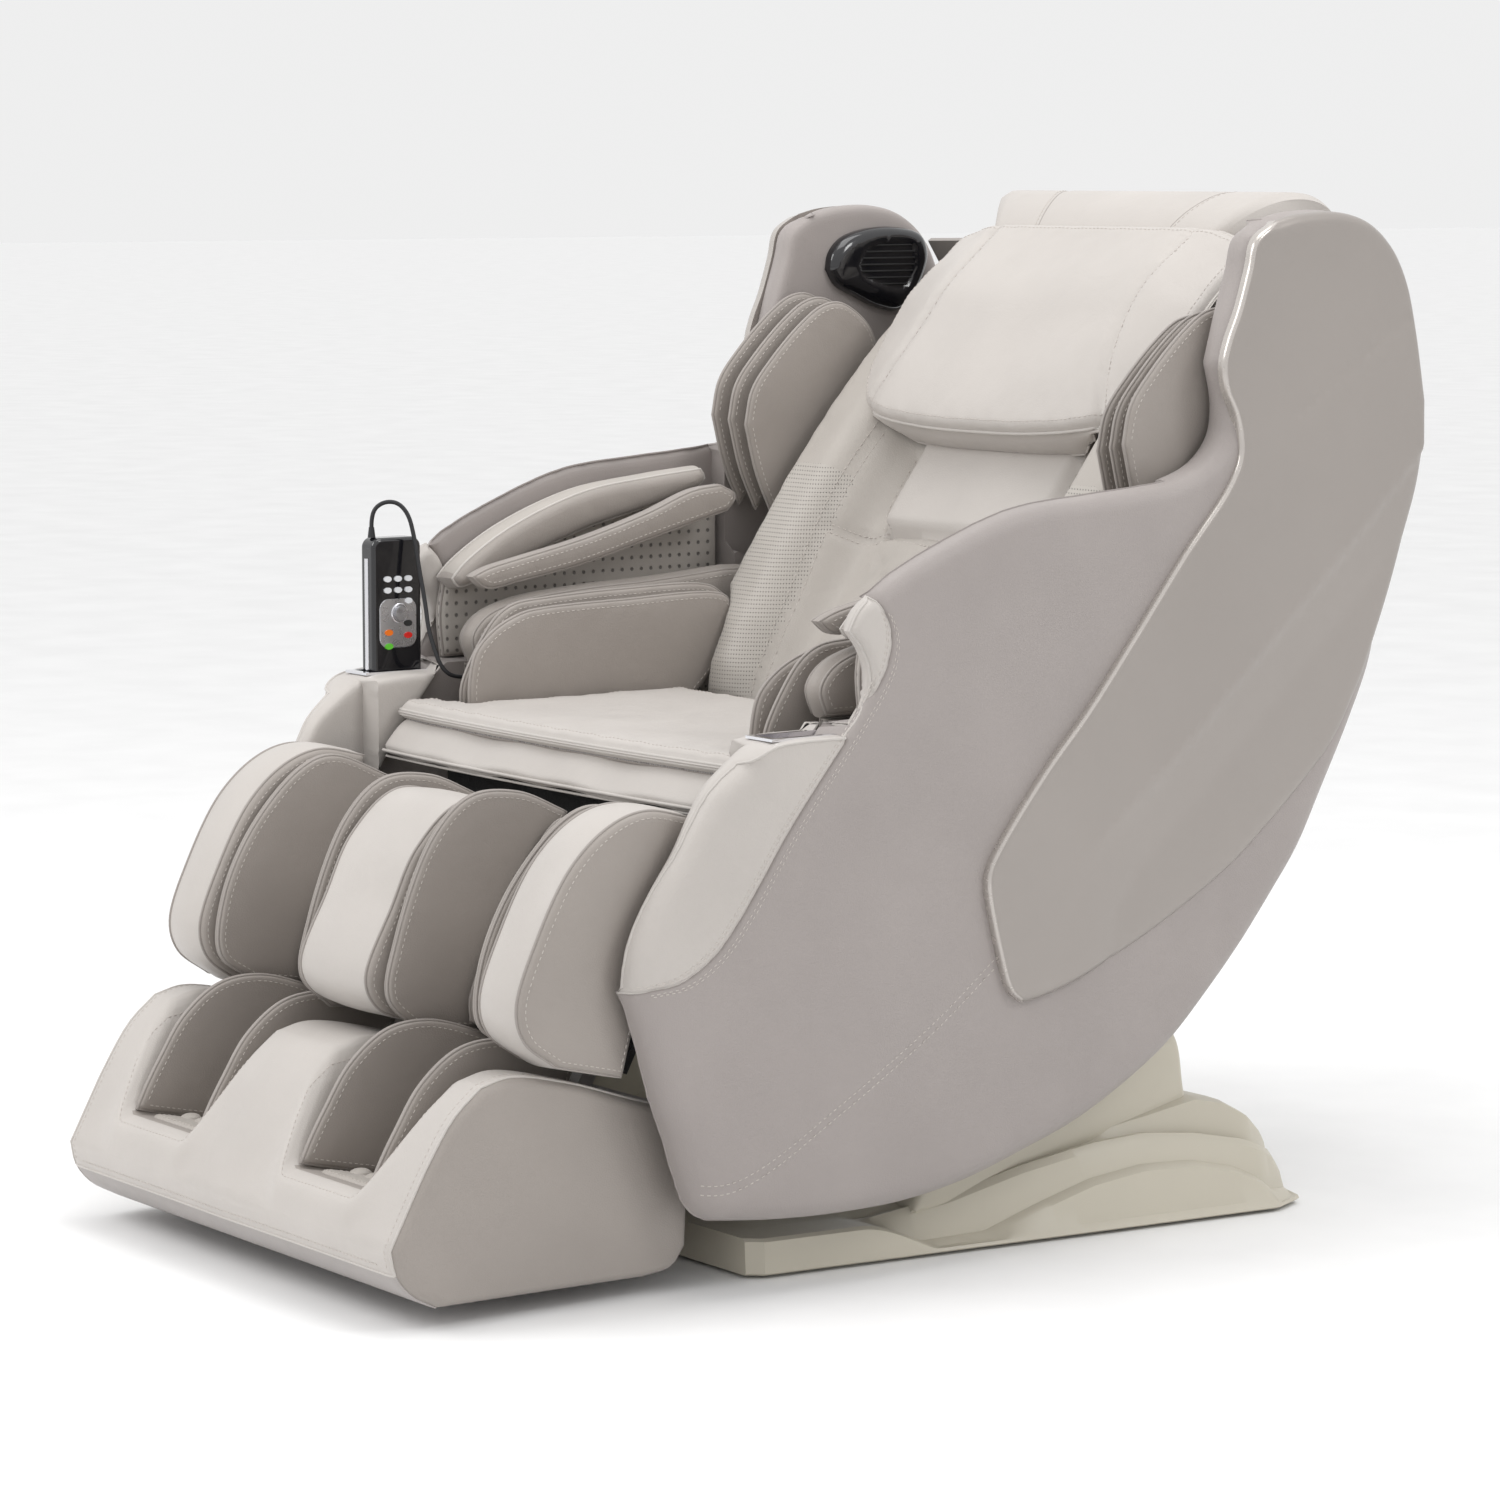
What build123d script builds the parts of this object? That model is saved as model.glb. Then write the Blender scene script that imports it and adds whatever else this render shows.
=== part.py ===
"""Massage chair: a recliner body on a sled base, with a swinging legrest, a sliding
footrest, a flip-up head pillow, a massage carriage and a corded handset.

Millimetres. X runs across the chair, -Y is the front, +Z is up. The origin is on the
floor, under the middle of the chair.
"""
from build123d import *
import math
import os

os.makedirs("parts", exist_ok=True)

# ---------------------------------------------------------------- driving dimensions
CLEAR = 1.0                    # gap between neighbouring pieces

# lateral stations, measured from the middle plane
PANEL_IN = 375                 # inner face of a side panel
PANEL_OUT = 440                # outer face of a side panel
WING_IN = 396                  # inner face of the panel beside the head
COVER_OUT = 450                # outer face of the hard cover
ARM_WALL = 419                 # inner face of the arm's outer wall
ARM_LIP = 345                  # inner edge of the armrest
HIP_FLAP = 15                  # thickness of a hip or shoulder flap
SEAT_HALF = 262                # half width of the seat between the hip flaps
COVER_HALF = 335               # half width of the seat cover at the knees
BACK_HALF = 295                # half width of the back pad

# base
BASE_FRONT, BASE_REAR = -205, 545
BASE_WALL = 4
FOOT_HEIGHT = 8
POST_IN, POST_OUT = 300, 345   # upright between these stations
PIVOT = (200, 285)             # recline axis, (y, z)
PIN_R = 12
PIN_GAP = 0.05

# recline actuator, upright at rest under the seat frame
LIFT_FOOT = (-60, 100)         # lower pivot, (y, z)
LIFT_HEAD = (-60, 375)         # upper pivot, (y, z)

# seat
SEAT_TOP = 530
COVER_T = 24

# back: a straight chord from the seat to the head
BACK_FOOT = (150, 525)
BACK_ANGLE = 55                # degrees above the horizontal
PAD_REAR = 80                  # rear face of the back pad behind the chord
RAIL_BEHIND = 140
RAIL_START, RAIL_END = 30, 590
CARRIAGE_REST = 130            # carriage centre along the chord at rest
ROLLER_R = 28
ROLLER_BEHIND = 112
PILLOW_HALF = 268
TOP_FRONT_HALF, TOP_HALF = 195, 292
PILLOW_AXIS = (540, 1092)      # just in front of the top pad, (y, z)

# legrest: its own axes run down the calf (s) and out of the calf's front (n)
KNEE = (-280, 455)             # swing axis, (y, z)
LEG_LEAN = 28                  # degrees forward of straight down
KNEE_PIN_R = 8
CALF_IN, CALF_OUT = 80, 272    # outer faces of the two calf flaps
FLAP_T = 16
LEG_HALF = 365

# footrest
FOOT_HALF = 345
WELL_IN, WELL_OUT = 98, 254

# handset
HAND = (-395, -181)            # centre, (x, y)
HAND_T, HAND_W = 28, 66        # thickness along X, width along Y
HAND_LOW, HAND_TOP = 555, 735
SLOT_T, SLOT_W = 34, 82
SHELF = 578

# handset cord
CORD_D = 5
CORD_ROUTE = [
    (-395, -207, 747), (-395, -207, 764), (-389, -196, 776), (-381, -180, 776),
    (-374, -169, 761), (-367, -166, 733), (-359, -165, 698), (-350, -163, 660),
    (-342, -164, 630), (-336, -160, 608), (-331, -155, 588), (-327, -141, 574),
    (-327, -122, 574),
]

# ---------------------------------------------------------------- helpers
lean = math.radians(LEG_LEAN)
rise = math.radians(BACK_ANGLE)
SIDE = Plane.YZ
LEG = Plane(
    origin=(0, KNEE[0], KNEE[1]),
    x_dir=(0, -math.sin(lean), -math.cos(lean)),
    z_dir=(-1, 0, 0),
)


def leg_point(s, n):
    """World (y, z) of a point given down the calf and out of its front."""
    y = KNEE[0] - s * math.sin(lean) - n * math.cos(lean)
    z = KNEE[1] - s * math.cos(lean) + n * math.sin(lean)
    return (y, z)


def back_point(along, behind):
    """World (y, z) of a point along the back's chord and behind it."""
    y = BACK_FOOT[0] + along * math.cos(rise) + behind * math.sin(rise)
    z = BACK_FOOT[1] + along * math.sin(rise) - behind * math.cos(rise)
    return (y, z)


def outline(stretches):
    """Draw a closed chain: two points make a line, more make a smooth curve."""
    for points in stretches:
        if len(points) == 2:
            Line(*points)
        else:
            Spline(*points)


def plate(stretches, x_low, x_high, mode=Mode.ADD):
    """Extrude an outline given in (y, z) between two lateral stations."""
    with BuildPart() as slab:
        with BuildSketch(SIDE.offset(x_low)):
            with BuildLine():
                outline(stretches)
            make_face()
        extrude(amount=x_high - x_low)
    add(slab.part, mode=mode)


def leg_plate(stretches, x_low, x_high, mode=Mode.ADD):
    """Extrude an outline given in the legrest's (s, n) between two stations."""
    with BuildPart() as slab:
        with BuildSketch(LEG.offset(-x_high)):
            with BuildLine():
                outline(stretches)
            make_face()
        extrude(amount=x_high - x_low)
    add(slab.part, mode=mode)


def polygon(points):
    """The stretches of a closed polygon."""
    return [[a, b] for a, b in zip(points, points[1:] + points[:1])]


def block(x_low, x_high, y_low, y_high, z_low, z_high, mode=Mode.ADD):
    """A box between two corners."""
    centre = ((x_low + x_high) / 2, (y_low + y_high) / 2, (z_low + z_high) / 2)
    with Locations(centre):
        Box(x_high - x_low, y_high - y_low, z_high - z_low, mode=mode)


def rod(y, z, x_low, x_high, radius, mode=Mode.ADD):
    """A round bar along X."""
    with Locations(Plane(origin=((x_low + x_high) / 2, y, z), z_dir=(1, 0, 0))):
        Cylinder(radius, x_high - x_low, mode=mode)


def save(piece, name):
    piece.part.label = name
    export_step(piece.part, f"parts/{name}.step")


def save_left(piece, name):
    """Write the mirror image of a right-hand piece."""
    with BuildPart() as left:
        add(mirror(piece.part, about=Plane.YZ))
    save(left, name)


# ---------------------------------------------------------------- base
def base_block(inset):
    """The flared foot of the chair, smaller all round by an inset."""
    front, rear = BASE_FRONT + inset, BASE_REAR - inset
    right = [(350 - inset, front), (425 - inset, 470), (402 - inset, 522), (300, rear)]
    left = [(-x, y) for x, y in reversed(right)]
    crown = [(front - 1, 45 - inset), (-50, 48 - inset), (74, 58 - inset), (203, 84 - inset),
             (300, 124 - inset), (365, 146 - inset), (440, 124 - inset), (503, 82 - inset),
             (rear - 8, 34)]
    with BuildPart() as foot:
        with BuildSketch(Plane.XY.offset(4 if inset == 0 else 0)):
            with BuildLine():
                Polyline(*right, *left, close=True)
            make_face()
        extrude(amount=160)
        with BuildSketch(SIDE.offset(-500)):
            with BuildLine():
                Spline(*crown)
                Polyline(crown[-1], (rear + 1, 0), (front - 1, 0), crown[0])
            make_face()
        extrude(amount=1000, mode=Mode.INTERSECT)
    add(foot.part)


UPRIGHT = [(10, 40), (130, 300), (165, 336), (235, 336), (290, 300), (385, 200), (408, 100), (410, 60)]


def upright(x_low, x_high, inset, mode=Mode.ADD):
    """One of the two uprights that carry the recline pins."""
    points = [(y + (inset if y < PIVOT[0] else -inset), z - (inset if z > 60 else 0))
              for y, z in UPRIGHT]
    plate(polygon(points), x_low, x_high, mode)


def make_base_cover():
    with BuildPart() as hollow:
        base_block(BASE_WALL)
        for side in (-1, 1):
            low, high = sorted((side * (POST_IN + BASE_WALL), side * (POST_OUT - BASE_WALL)))
            upright(low, high, BASE_WALL)
    with BuildPart() as base_cover:
        base_block(0)
        for side in (-1, 1):
            low, high = sorted((side * POST_IN, side * POST_OUT))
            upright(low, high, 0)
        add(hollow.part, mode=Mode.SUBTRACT)
        for side in (-1, 1):
            low, high = sorted((side * (POST_IN - 5), side * (POST_OUT + 5)))
            rod(*PIVOT, low, high, PIN_R + 6, Mode.SUBTRACT)
        block(-45, 45, LIFT_FOOT[0] - 40, LIFT_FOOT[0] + 40, 20, 120, Mode.SUBTRACT)
        block(-71, 11, 480, 560, 17, 53, Mode.SUBTRACT)
    save(base_cover, "base_cover")


def make_pivot_posts():
    with BuildPart() as pivot_posts:
        for side in (-1, 1):
            low, high = sorted((side * 312, side * 332))
            plate(polygon([(60, 33), (160, 300), (240, 300), (360, 33)]), low, high)
            rod(*PIVOT, low, high, 34)
            rod(*PIVOT, low, high, PIN_R, Mode.SUBTRACT)
    save(pivot_posts, "pivot_posts")


def make_pivot_pins():
    with BuildPart() as pivot_pins:
        for side in (-1, 1):
            low, high = sorted((side * 306, side * 372))
            rod(*PIVOT, low, high, PIN_R)
    save(pivot_pins, "pivot_pins")


def make_base_frame():
    with BuildPart() as base_frame:
        for side in (-1, 1):
            low, high = sorted((side * 302, side * 336))
            block(low, high, -185, 490, FOOT_HEIGHT, 33)
        for y in (-170, LIFT_FOOT[0], 460):
            block(-302, 302, y - 15, y + 15, FOOT_HEIGHT, 33)
        for side in (-1, 1):
            low, high = sorted((side * 30, side * 38))
            block(low, high, LIFT_FOOT[0] - 18, LIFT_FOOT[0] + 18, 33, 118)
        rod(*LIFT_FOOT, -38, 38, 6)
    save(base_frame, "base_frame")


def make_rubber_feet():
    with BuildPart() as rubber_feet:
        for y in (-165, 150, 465):
            for x in (-319, 319):
                with Locations((x, y, FOOT_HEIGHT / 2)):
                    Cylinder(16, FOOT_HEIGHT)
    save(rubber_feet, "rubber_feet")


def make_power_inlet():
    with BuildPart() as power_inlet:
        block(-70, 10, 500, 520, 18, 52)
        block(-62, -34, 508, 521, 24, 46, Mode.SUBTRACT)
        block(-22, 0, 504, 521, 26, 44, Mode.SUBTRACT)
        for x, z in ((-54, 33), (-42, 33), (-48, 40)):
            block(x - 1, x + 1, 508, 517, z - 2, z + 2)
    save(power_inlet, "power_inlet")
    with BuildPart() as power_switch:
        plate(polygon([(506, 34), (519, 27.5), (521, 35), (519, 42.5), (506, 36)]), -21, -1)
    save(power_switch, "power_switch")


def make_control_box():
    with BuildPart() as control_box:
        block(-180, 180, 230, 390, 36, 72)
        fillet(control_box.edges().filter_by(Axis.Z), 6)
    save(control_box, "control_box")


def make_tilt_actuator():
    """Motor body hung on the base, and the rod that lifts the seat frame."""
    y, low = LIFT_FOOT
    high = LIFT_HEAD[1]
    with BuildPart() as tilt_motor:
        with Locations((0, y, low + 105)):
            Cylinder(20, 170)
        block(-22, 22, y + 19, y + 62, low + 25, low + 95)
        block(-24, 24, y - 14, y + 14, low - 12, low + 20)
        rod(y, low, -26, 26, 6 + PIN_GAP, Mode.SUBTRACT)
        with Locations((0, y, low + 115)):
            Cylinder(9.5, 180, mode=Mode.SUBTRACT)
    save(tilt_motor, "tilt_motor")
    with BuildPart() as tilt_rod:
        with Locations((0, y, (low + 30 + high - 14) / 2)):
            Cylinder(9, high - low - 44)
        rod(y, high, -10, 10, 16)
        rod(y, high, -10, 10, 11, Mode.SUBTRACT)
    save(tilt_rod, "tilt_rod")


# ---------------------------------------------------------------- recliner: frame
def make_seat_frame():
    with BuildPart() as seat_frame:
        for side in (-1, 1):
            low, high = sorted((side * 270, side * 292))
            block(low, high, -215, 285, 400, 430)
            # plate that hangs on the recline pin, outside the upright
            low, high = sorted((side * 350, side * 370))
            plate(polygon([(120, 430), (160, 262), (240, 262), (290, 430)]), low, high)
            rod(*PIVOT, low, high, 40)
            rod(*PIVOT, low, high, PIN_R + PIN_GAP, Mode.SUBTRACT)
            # bracket and stub pin for the legrest
            low, high = sorted((side * 318, side * 330))
            bracket = [(-190, 400), (-190, 430), (-268, 468), (-292, 462), (-292, 444), (-255, 425)]
            plate(polygon(bracket), low, high)
            low, high = sorted((side * 299, side * 330))
            rod(*KNEE, low, high, KNEE_PIN_R)
        for y in (-200, 265):
            block(-370, 370, y - 12, y + 12, 404, 428)
        # fork for the lifting rod
        block(-292, 292, -75, -45, 404, 428)
        for side in (-1, 1):
            low, high = sorted((side * 13, side * 21))
            block(low, high, -76, -44, LIFT_HEAD[1] - 14, 404)
        rod(*LIFT_HEAD, -21, 21, 6)
    save(seat_frame, "seat_frame")


def make_back_frame():
    """Two guide rails joined by cross bars."""
    half = 10
    with BuildPart() as back_frame:
        for side in (-1, 1):
            low, high = sorted((side * 115, side * 135))
            rail = [back_point(RAIL_START, RAIL_BEHIND - half), back_point(RAIL_END, RAIL_BEHIND - half),
                    back_point(RAIL_END, RAIL_BEHIND + half), back_point(RAIL_START, RAIL_BEHIND + half)]
            plate(polygon(rail), low, high)
        for along, reach in ((RAIL_START, 370), (RAIL_END - 20, 370)):
            bar = [back_point(along, RAIL_BEHIND - half), back_point(along + 20, RAIL_BEHIND - half),
                   back_point(along + 20, RAIL_BEHIND + half), back_point(along, RAIL_BEHIND + half)]
            plate(polygon(bar), -reach, reach)
    save(back_frame, "back_frame")


# ---------------------------------------------------------------- recliner: side panels
PANEL_OUTLINE = [
    [(429, 1101), (524, 1111), (603, 1074), (638, 980), (649, 902)],
    [(649, 902), (630, 758), (592, 614), (522, 473), (406, 311), (249, 172), (109, 112),
     (-53, 76), (-286, 83)],
    [(-286, 83), (-321, 124), (-357, 221), (-395, 334)],
    [(-395, 334), (-375, 401), (-330, 468), (-292, 530), (-257, 562)],
    [(-257, 562), (-223, 584), (-150, 588)],
    [(-150, 588), (-124, 606), (-114, 639), (-124, 667), (-143, 690)],
    [(-143, 690), (-118, 719), (-33, 765), (73, 802), (182, 814), (300, 826)],
    [(300, 826), (352, 850), (376, 895), (362, 950)],
    [(362, 950), (392, 1050), (429, 1101)],
]
FRONT_SEAM = [(-400, 331), (-342, 337), (-296, 367), (-248, 436), (-198, 517), (-142, 595),
              (-109, 654), (-105, 696), (-130, 735)]
FRONT_REGION = [FRONT_SEAM, [(-130, 735), (-130, 800)], [(-130, 800), (-500, 800)],
                [(-500, 800), (-500, 331)], [(-500, 331), (-400, 331)]]


def side_blank():
    """Panel with the inner arm block, before it is split along the front seam."""
    plate(PANEL_OUTLINE, PANEL_IN, PANEL_OUT)
    # inner block that carries the arm channel
    block(312, PANEL_IN, -110, 270, 445, 588)
    block(ARM_LIP, PANEL_IN, -228, -110, 445, SHELF)
    # shelf for the handset and the open arm channel
    block(300, ARM_WALL, -300, -110, SHELF, 760, Mode.SUBTRACT)
    block(300, ARM_WALL, -111, 296, 588, 900, Mode.SUBTRACT)
    # shallower wall beside the head and shoulders
    wing = [(290, 700), (560, 560), (690, 700), (690, 1200), (290, 1200)]
    plate(polygon(wing), 300, WING_IN, Mode.SUBTRACT)
    # slot for a handset cup
    x_mid, y_mid = -HAND[0], HAND[1]
    block(x_mid - SLOT_T / 2 - 3, x_mid + SLOT_T / 2 + 3, y_mid - SLOT_W / 2 - 3,
          y_mid + SLOT_W / 2 + 3, HAND_LOW - 6, SHELF + 50, Mode.SUBTRACT)


def make_side_panels():
    with BuildPart() as side_panel_r:
        side_blank()
        plate(FRONT_REGION, 300, 500, Mode.SUBTRACT)
    save(side_panel_r, "side_panel_r")
    save_left(side_panel_r, "side_panel_l")
    with BuildPart() as front_pad:
        side_blank()
        plate(FRONT_REGION, 300, 500, Mode.INTERSECT)
    with BuildPart() as arm_front_pads:
        add(front_pad.part)
        mirror(about=Plane.YZ)
    save(arm_front_pads, "arm_front_pads")


HARD_OUTLINE = [
    [(429, 1101), (392, 1050), (362, 950)],
    [(362, 950), (378, 895), (370, 830), (303, 751), (164, 586), (45, 451), (29, 410),
     (46, 336), (79, 282)],
    [(79, 282), (163, 299), (305, 359), (427, 438), (526, 528), (580, 600)],
    [(580, 600), (622, 740), (645, 840), (649, 902)],
    [(649, 902), (638, 980), (603, 1074), (524, 1111), (429, 1101)],
]


def make_hard_covers():
    with BuildPart() as hard_cover_r:
        plate(HARD_OUTLINE, PANEL_OUT, COVER_OUT)
    save(hard_cover_r, "hard_cover_r")
    save_left(hard_cover_r, "hard_cover_l")


def make_slot_cups():
    """A cup with a bright rim, one in each arm."""
    with BuildPart() as slot_cups:
        for side in (-1, 1):
            x_mid, y_mid = side * -HAND[0], HAND[1]
            out_x, out_y = SLOT_T / 2 + 2.5, SLOT_W / 2 + 2.5
            block(x_mid - out_x, x_mid + out_x, y_mid - out_y, y_mid + out_y, HAND_LOW - 5, SHELF)
            rim_x, rim_y = SLOT_T / 2 + 6, SLOT_W / 2 + 8
            block(x_mid - rim_x, x_mid + rim_x, y_mid - rim_y, y_mid + rim_y, SHELF, SHELF + 3)
            block(x_mid - SLOT_T / 2, x_mid + SLOT_T / 2, y_mid - SLOT_W / 2, y_mid + SLOT_W / 2,
                  HAND_LOW - 1, SHELF + 4, Mode.SUBTRACT)
    save(slot_cups, "slot_cups")


# ---------------------------------------------------------------- recliner: soft parts
def make_arm_parts():
    with BuildPart() as armrest_pads:
        top = [(-106, 724), (-33, 762), (73, 799), (160, 809), (240, 818)]
        low = [(y, z - 34) for y, z in reversed(top)]
        stretches = [top, [top[-1], low[0]], low, [low[-1], top[0]]]
        plate(stretches, ARM_LIP, ARM_WALL - CLEAR)
        mirror(about=Plane.YZ)
    save(armrest_pads, "armrest_pads")
    with BuildPart() as arm_airbags:
        upper = [(-104, 684), (-40, 716), (80, 752), (240, 776), (280, 760), (140, 728), (-60, 680)]
        plate(polygon(upper), 322, ARM_LIP - CLEAR)
        lower = [(-108, 590), (-112, 628), (-70, 648), (100, 664), (270, 670), (280, 640), (266, 590)]
        plate(polygon(lower), 316, 362)
        mirror(about=Plane.YZ)
    save(arm_airbags, "arm_airbags")


def make_hip_flaps():
    inner = [(-150, 562), (-142, 608), (-116, 633), (-54, 652), (60, 657), (202, 655), (216, 640),
             (200, 590), (156, 540), (120, 532), (-140, 532)]
    outer = [(-149, 562), (-122, 618), (-92, 650), (-34, 663), (74, 668), (198, 666), (219, 652),
             (206, 600), (158, 540), (120, 532), (-140, 532)]
    with BuildPart() as hip_flaps:
        plate(polygon(inner), 266, 266 + HIP_FLAP)
        plate(polygon(outer), 286, 286 + HIP_FLAP)
        mirror(about=Plane.YZ)
    save(hip_flaps, "hip_flaps")


def make_seat():
    with BuildPart() as seat_cushion:
        block(-SEAT_HALF, SEAT_HALF, -190, 140, 436, SEAT_TOP - 4)
        fillet(seat_cushion.edges().filter_by(Axis.Y), 12)
    save(seat_cushion, "seat_cushion")
    with BuildPart() as seat_cover:
        top = SEAT_TOP + COVER_T - 4
        front = [(-212, SEAT_TOP - 2), (-222, SEAT_TOP + 10), (-212, top)]
        plate([front, [front[-1], (-160, top)], [(-160, top), (-160, SEAT_TOP - 2)],
               [(-160, SEAT_TOP - 2), front[0]]], -COVER_HALF, COVER_HALF)
        block(-SEAT_HALF, SEAT_HALF, -160, 140, SEAT_TOP - 2, top)
    save(seat_cover, "seat_cover")
    with BuildPart() as front_skirt:
        flap = [(-196, 525), (-238, 503), (-242, 496), (-237, 490), (-196, 511)]
        plate(polygon(flap), -COVER_HALF, COVER_HALF)
    save(front_skirt, "front_skirt")


def make_back_pad():
    """Centre slab with a bolster down each side."""
    slab_front, bolster_front = 38, -20
    with BuildPart() as back_pad:
        slab = [back_point(8, PAD_REAR), back_point(8, slab_front + 8), back_point(20, slab_front),
                back_point(640, slab_front), back_point(640, PAD_REAR)]
        plate(polygon(slab), -BACK_HALF, BACK_HALF)
        bolster = [back_point(14, slab_front), back_point(20, 4), back_point(120, bolster_front + 4),
                   back_point(300, bolster_front), back_point(470, bolster_front + 18),
                   back_point(560, 8), back_point(560, slab_front)]
        for side in (-1, 1):
            low, high = sorted((side * 190, side * BACK_HALF))
            plate(polygon(bolster), low, high)
            # the lower end narrows to pass between the hip flaps
            low, high = sorted((side * (SEAT_HALF + 2), side * 300))
            block(low, high, 100, 228, 500, 672, Mode.SUBTRACT)
    save(back_pad, "back_pad")


def make_top_pad():
    top = [(552, 1084), (580, 1113), (615, 1131), (642, 1127), (656, 1106), (652, 1085)]
    with BuildPart() as top_pad:
        plate([top, [top[-1], (640, 1074)], [(640, 1074), (570, 1074)], [(570, 1074), top[0]]],
              -TOP_HALF, TOP_HALF)
        # the pad narrows forward, between the head wings
        with BuildSketch(Plane.XY.offset(1000)):
            with BuildLine():
                Polyline((-TOP_FRONT_HALF, 540), (TOP_FRONT_HALF, 540), (TOP_HALF, 660), (-TOP_HALF, 660),
                         close=True)
            make_face()
        extrude(amount=200, mode=Mode.INTERSECT)
    save(top_pad, "top_pad")


def make_shoulder_flaps():
    leaf = [(276, 853), (310, 925), (385, 990), (430, 990), (470, 950), (440, 892), (377, 822),
            (318, 750), (292, 794)]
    with BuildPart() as shoulder_flaps:
        for x, slip in ((320, 0), (347, 5), (374, 10)):
            plate(polygon([(y - slip, z + slip) for y, z in leaf]), x, x + HIP_FLAP)
        mirror(about=Plane.YZ)
    save(shoulder_flaps, "shoulder_flaps")


def make_speakers():
    """Pod with a slotted grille on the inner face of each head wing."""
    pod = [(447, 1035), (468, 1072), (500, 1083), (555, 1085), (590, 1060), (560, 1000), (496, 1000)]
    with BuildPart() as speakers:
        plate(polygon(pod), 376, WING_IN)
        for step in range(7):
            z = 1014 + step * 9
            block(374, 380, 482, 552, z, z + 4, Mode.SUBTRACT)
        mirror(about=Plane.YZ)
    save(speakers, "speakers")


def make_rear_shell():
    outer = [(582, 1069), (624, 980), (636, 902), (618, 758), (580, 618), (514, 485), (440, 380)]
    inner = [(y - 6, z + 2) for y, z in reversed(outer)]
    with BuildPart() as rear_shell:
        plate([outer, [outer[-1], inner[0]], inner, [inner[-1], outer[0]]],
              -PANEL_IN + CLEAR, PANEL_IN - CLEAR)
    save(rear_shell, "rear_shell")


def make_head_pillow():
    """Hangs by a strip along its top edge over the upper half of the back."""
    front, rear = -24, 36
    rod_y, rod_z = PILLOW_AXIS
    with BuildPart() as head_pillow:
        face = [back_point(372, 22), back_point(380, front + 8), back_point(440, front - 4),
                back_point(560, front + 4), back_point(650, 8), back_point(682, 30)]
        plate([face, [face[-1], back_point(672, rear)],
               [back_point(672, rear), back_point(380, rear)],
               [back_point(380, rear), face[0]]], -186, 186)
        strip = [(rod_y - 3, rod_z), (rod_y + 2, rod_z), (544, 1056), (528, 1054)]
        plate(polygon(strip), -186, 186)
        rod(rod_y, rod_z, -186, 186, 3.5)
        for side in (-1, 1):
            low, high = sorted((side * 186, side * PILLOW_HALF))
            wing = [back_point(430, -10), back_point(450, -34), back_point(560, -32),
                    back_point(650, -14), back_point(676, 3), back_point(560, -1),
                    back_point(470, -8)]
            plate(polygon(wing), low, high)
    save(head_pillow, "head_pillow")


# ---------------------------------------------------------------- massage carriage
def make_carriage():
    with BuildPart() as massage_carriage:
        body = [back_point(CARRIAGE_REST + a, RAIL_BEHIND + b)
                for a, b in ((-60, 2), (60, 2), (60, 16), (-60, 16))]
        plate(polygon(body), -112, 112)
        for offset in (-38, 38):
            y, z = back_point(CARRIAGE_REST + offset, ROLLER_BEHIND)
            rod(y, z, -100, 100, 6)
            for x in (-80, 0, 80):
                arm = [back_point(CARRIAGE_REST + offset + a, b)
                       for a, b in ((-9, ROLLER_BEHIND - 8), (9, ROLLER_BEHIND - 8),
                                    (9, RAIL_BEHIND + 3), (-9, RAIL_BEHIND + 3))]
                plate(polygon(arm), x - 5, x + 5)
    save(massage_carriage, "massage_carriage")
    for name, offset in (("lower_rollers", -38), ("upper_rollers", 38)):
        y, z = back_point(CARRIAGE_REST + offset, ROLLER_BEHIND)
        with BuildPart() as rollers:
            for side in (-1, 1):
                low, high = sorted((side * 28, side * 58))
                rod(y, z, low, high, ROLLER_R)
                rod(y, z, low, high, 6 + PIN_GAP, Mode.SUBTRACT)
        save(rollers, name)


# ---------------------------------------------------------------- legrest
def make_legrest_frame():
    with BuildPart() as legrest_frame:
        for side in (-1, 1):
            low, high = sorted((side * 300, side * 312))
            arm = [(-14, -12), (14, -12), (200, -44), (200, -20), (20, 14), (-10, 14)]
            leg_plate(polygon(arm), low, high)
            rod(*KNEE, low, high, 18)
            rod(*KNEE, low, high, KNEE_PIN_R + PIN_GAP, Mode.SUBTRACT)
            # sleeves for the footrest's slide tubes
            low, high = sorted((side * 262, side * 290))
            leg_plate(polygon([(60, -44), (200, -44), (200, -16), (60, -16)]), low, high)
            low, high = sorted((side * 267, side * 285))
            leg_plate(polygon([(55, -39), (205, -39), (205, -21), (55, -21)]), low, high,
                      Mode.SUBTRACT)
        for s in (70, 180):
            leg_plate(polygon([(s, -43), (s + 18, -43), (s + 18, -24), (s, -24)]), -262, 262)
            for side in (-1, 1):
                low, high = sorted((side * 290, side * 300))
                leg_plate(polygon([(s, -42), (s + 18, -42), (s + 18, -24), (s, -24)]), low, high)
    save(legrest_frame, "legrest_frame")


def make_legrest_shell():
    back = [(30, -56), (90, -66), (224, -66), (224, -58), (92, -58), (33, -48)]
    with BuildPart() as legrest_shell:
        leg_plate(polygon(back), -296, 296)
    save(legrest_shell, "legrest_shell")


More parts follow.
